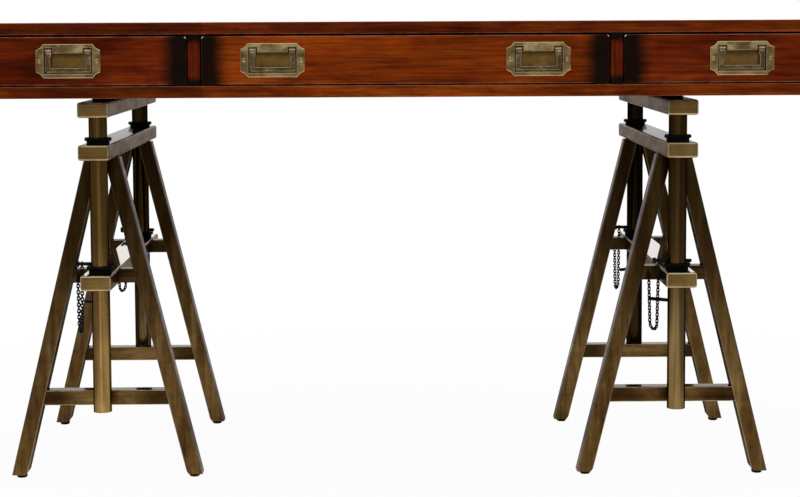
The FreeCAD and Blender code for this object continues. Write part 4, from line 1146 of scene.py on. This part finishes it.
class DESK_OT_stage(bpy.types.Operator):
    """Set up the floor, the soft lamps, the white surroundings and the camera"""

    bl_idname = "desk.stage"
    bl_label = "Stage"

    def rays(self, nodes):
        """Which rays see the surroundings as they look: those of the camera, and those in metal and glass."""
        path = nodes.tree.nodes.new("ShaderNodeLightPath").outputs
        direct = nodes.math("MAXIMUM", path["Is Camera Ray"], path["Is Transmission Ray"])
        return direct, path["Is Glossy Ray"]

    def surroundings(self, stage):
        """White behind the desk, dimmer at the sides and behind the camera, as in a studio."""
        world = bpy.data.worlds.new("studio")
        bpy.context.scene.world = world
        world.use_nodes = True
        nodes = Nodes(world.node_tree)
        direct, glossy = self.rays(nodes)
        x, depth, up = nodes.parts("Generated")
        behind = nodes.span(depth, 0.90, 0.99, 0.0, 1 - stage.side_dim)
        ahead = nodes.math("ADD", nodes.times(x, -0.25), nodes.times(depth, -0.97))
        before = nodes.span(ahead, 0.55, 0.92, 0.0, stage.room_dim - stage.side_dim)
        above = nodes.span(up, 0.35, 0.85, 0.0, stage.overhead - stage.side_dim)
        lit = nodes.math("ADD", behind, nodes.math("MAXIMUM", before, above))
        mirrored = nodes.math("ADD", lit, stage.side_dim)
        strength = nodes.between(direct, nodes.between(glossy, stage.sky, mirrored), 1.0)
        background = world.node_tree.nodes["Background"]
        background.inputs["Color"].default_value = (1, 1, 1, 1)
        nodes.feed(background.inputs["Strength"], strength)

    def floor(self, tone, stage):
        clear_selection()
        bpy.ops.mesh.primitive_plane_add(size=FLOOR_SIZE)
        floor = begin("studio_floor")
        f = Finish("studio_floor_white")
        f.done(Base_Color=tone, Roughness=0.9, Specular_IOR_Level=0.0)
        direct, glossy = self.rays(f)
        x, y = f.parts("Object")[:2]
        far = f.math("ADD", f.math("POWER", f.times(x, 0.55), 2.0), f.math("POWER", y, 2.0))
        white = f.span(f.math("SQRT", far), *FLOOR_WHITE_REACH, 0.95, 1.0)
        near = f.span(y, *FLOOR_ROOM_DEPTHS, stage.room_dim, 1.0)
        aside = f.math("ABSOLUTE", x)
        # Painted shade in what metal reflects: the floor shows dimmer between the trestles, out to the sides
        # and under the back
        painted_lane_shade = f.times(f.span(aside, *LANE_MIDDLE, 0.65, 1.0), f.span(aside, *LANE_SIDES, 1.0, 0.25))
        painted_lane_shade = f.times(painted_lane_shade, f.span(y, *LANE_DEPTHS, 1.0, 0.40))
        back = f.times(f.span(y, *BACK_DEPTHS), f.span(aside, *BACK_SIDES, 1.0, 0.25))
        near = f.times(near, f.math("MAXIMUM", painted_lane_shade, back))
        glow = f.node("ShaderNodeEmission", 0, {"Color": (1, 1, 1), "Strength": f.between(glossy, 1.0, near)})
        share = f.between(glossy, f.times(direct, white), 0.95)
        mixed = f.node("ShaderNodeMixShader", 0, {0: share, 1: f.shader.outputs[0], 2: glow})
        f.feed(f.tree.nodes["Material Output"].inputs[0], mixed)
        floor.data.materials.append(f.material)

    def placed(self, name, data, place, turn):
        made = bpy.data.objects.new(name, data)
        made.location = place
        made.rotation_euler = turn.to_euler()
        bpy.context.scene.collection.objects.link(made)
        return made

    def lamp(self, name, place, aim, size, power):
        light = bpy.data.lights.new(name, "AREA")
        light.shape = "DISK"
        light.size = size
        light.energy = power
        turn = (Vector(aim) - Vector(place)).to_track_quat("-Z", "Y")
        self.placed(name, light, place, turn).visible_glossy = False

    def camera(self, stage):
        lens = bpy.data.cameras.new("camera")
        lens.lens = stage.camera_lens
        lens.sensor_width = SENSOR_WIDTH
        lens.shift_y = stage.camera_shift
        turn = (
            Matrix.Rotation(stage.camera_swing, 3, "Z")
            @ Matrix.Rotation(QUARTER_TURN - stage.camera_dip, 3, "X")
            @ Matrix.Rotation(stage.camera_roll, 3, "Z"))
        bpy.context.scene.camera = self.placed("camera", lens, stage.camera_place, turn)

    def execute(self, context):
        stage = context.scene.desk_stage
        self.floor(context.scene.desk_colours.floor, stage)
        self.surroundings(stage)
        for name, (place, aim, size) in LAMPS.items():
            self.lamp(name + "_lamp", place, aim, size, getattr(stage, name))
        self.camera(stage)
        context.scene.view_settings.view_transform = "Standard"
        return {"FINISHED"}


OPERATORS = (
    DESK_OT_case, DESK_OT_drawer_fronts, DESK_OT_pull_plates, DESK_OT_bails, DESK_OT_pull_screws,
    DESK_OT_trestles, DESK_OT_chains, DESK_OT_stage)


class DESK_PT_looks(bpy.types.Panel):
    """The desk's pieces and finishes"""

    bl_idname = "DESK_PT_looks"
    bl_label = "Campaign Desk"
    bl_space_type = "VIEW_3D"
    bl_region_type = "UI"
    bl_category = "Desk"

    def draw(self, context):
        for operator in OPERATORS:
            self.layout.operator(operator.bl_idname)
        for name in ("desk_sizes", "desk_colours", "desk_stage"):
            settings = getattr(context.scene, name)
            box = self.layout.box()
            for key in settings.bl_rna.properties.keys():
                if key not in ("rna_type", "name"):
                    box.prop(settings, key)


SETTINGS = {"desk_colours": DeskColours, "desk_sizes": DeskSizes, "desk_stage": DeskStage}
CLASSES = (*SETTINGS.values(), *OPERATORS, DESK_PT_looks)


def register():
    for kind in CLASSES:
        bpy.utils.register_class(kind)
    for name, kind in SETTINGS.items():
        setattr(bpy.types.Scene, name, bpy.props.PointerProperty(type=kind))


def unregister():
    for name in SETTINGS:
        delattr(bpy.types.Scene, name)
    for kind in reversed(CLASSES):
        bpy.utils.unregister_class(kind)


def main():
    register()
    bpy.ops.desk.case()
    bpy.ops.desk.drawer_fronts()
    bpy.ops.desk.pull_plates()
    bpy.ops.desk.bails()
    bpy.ops.desk.pull_screws()
    bpy.ops.desk.trestles()
    bpy.ops.desk.chains()
    bpy.ops.desk.stage()


if __name__ == "__main__":
    main()
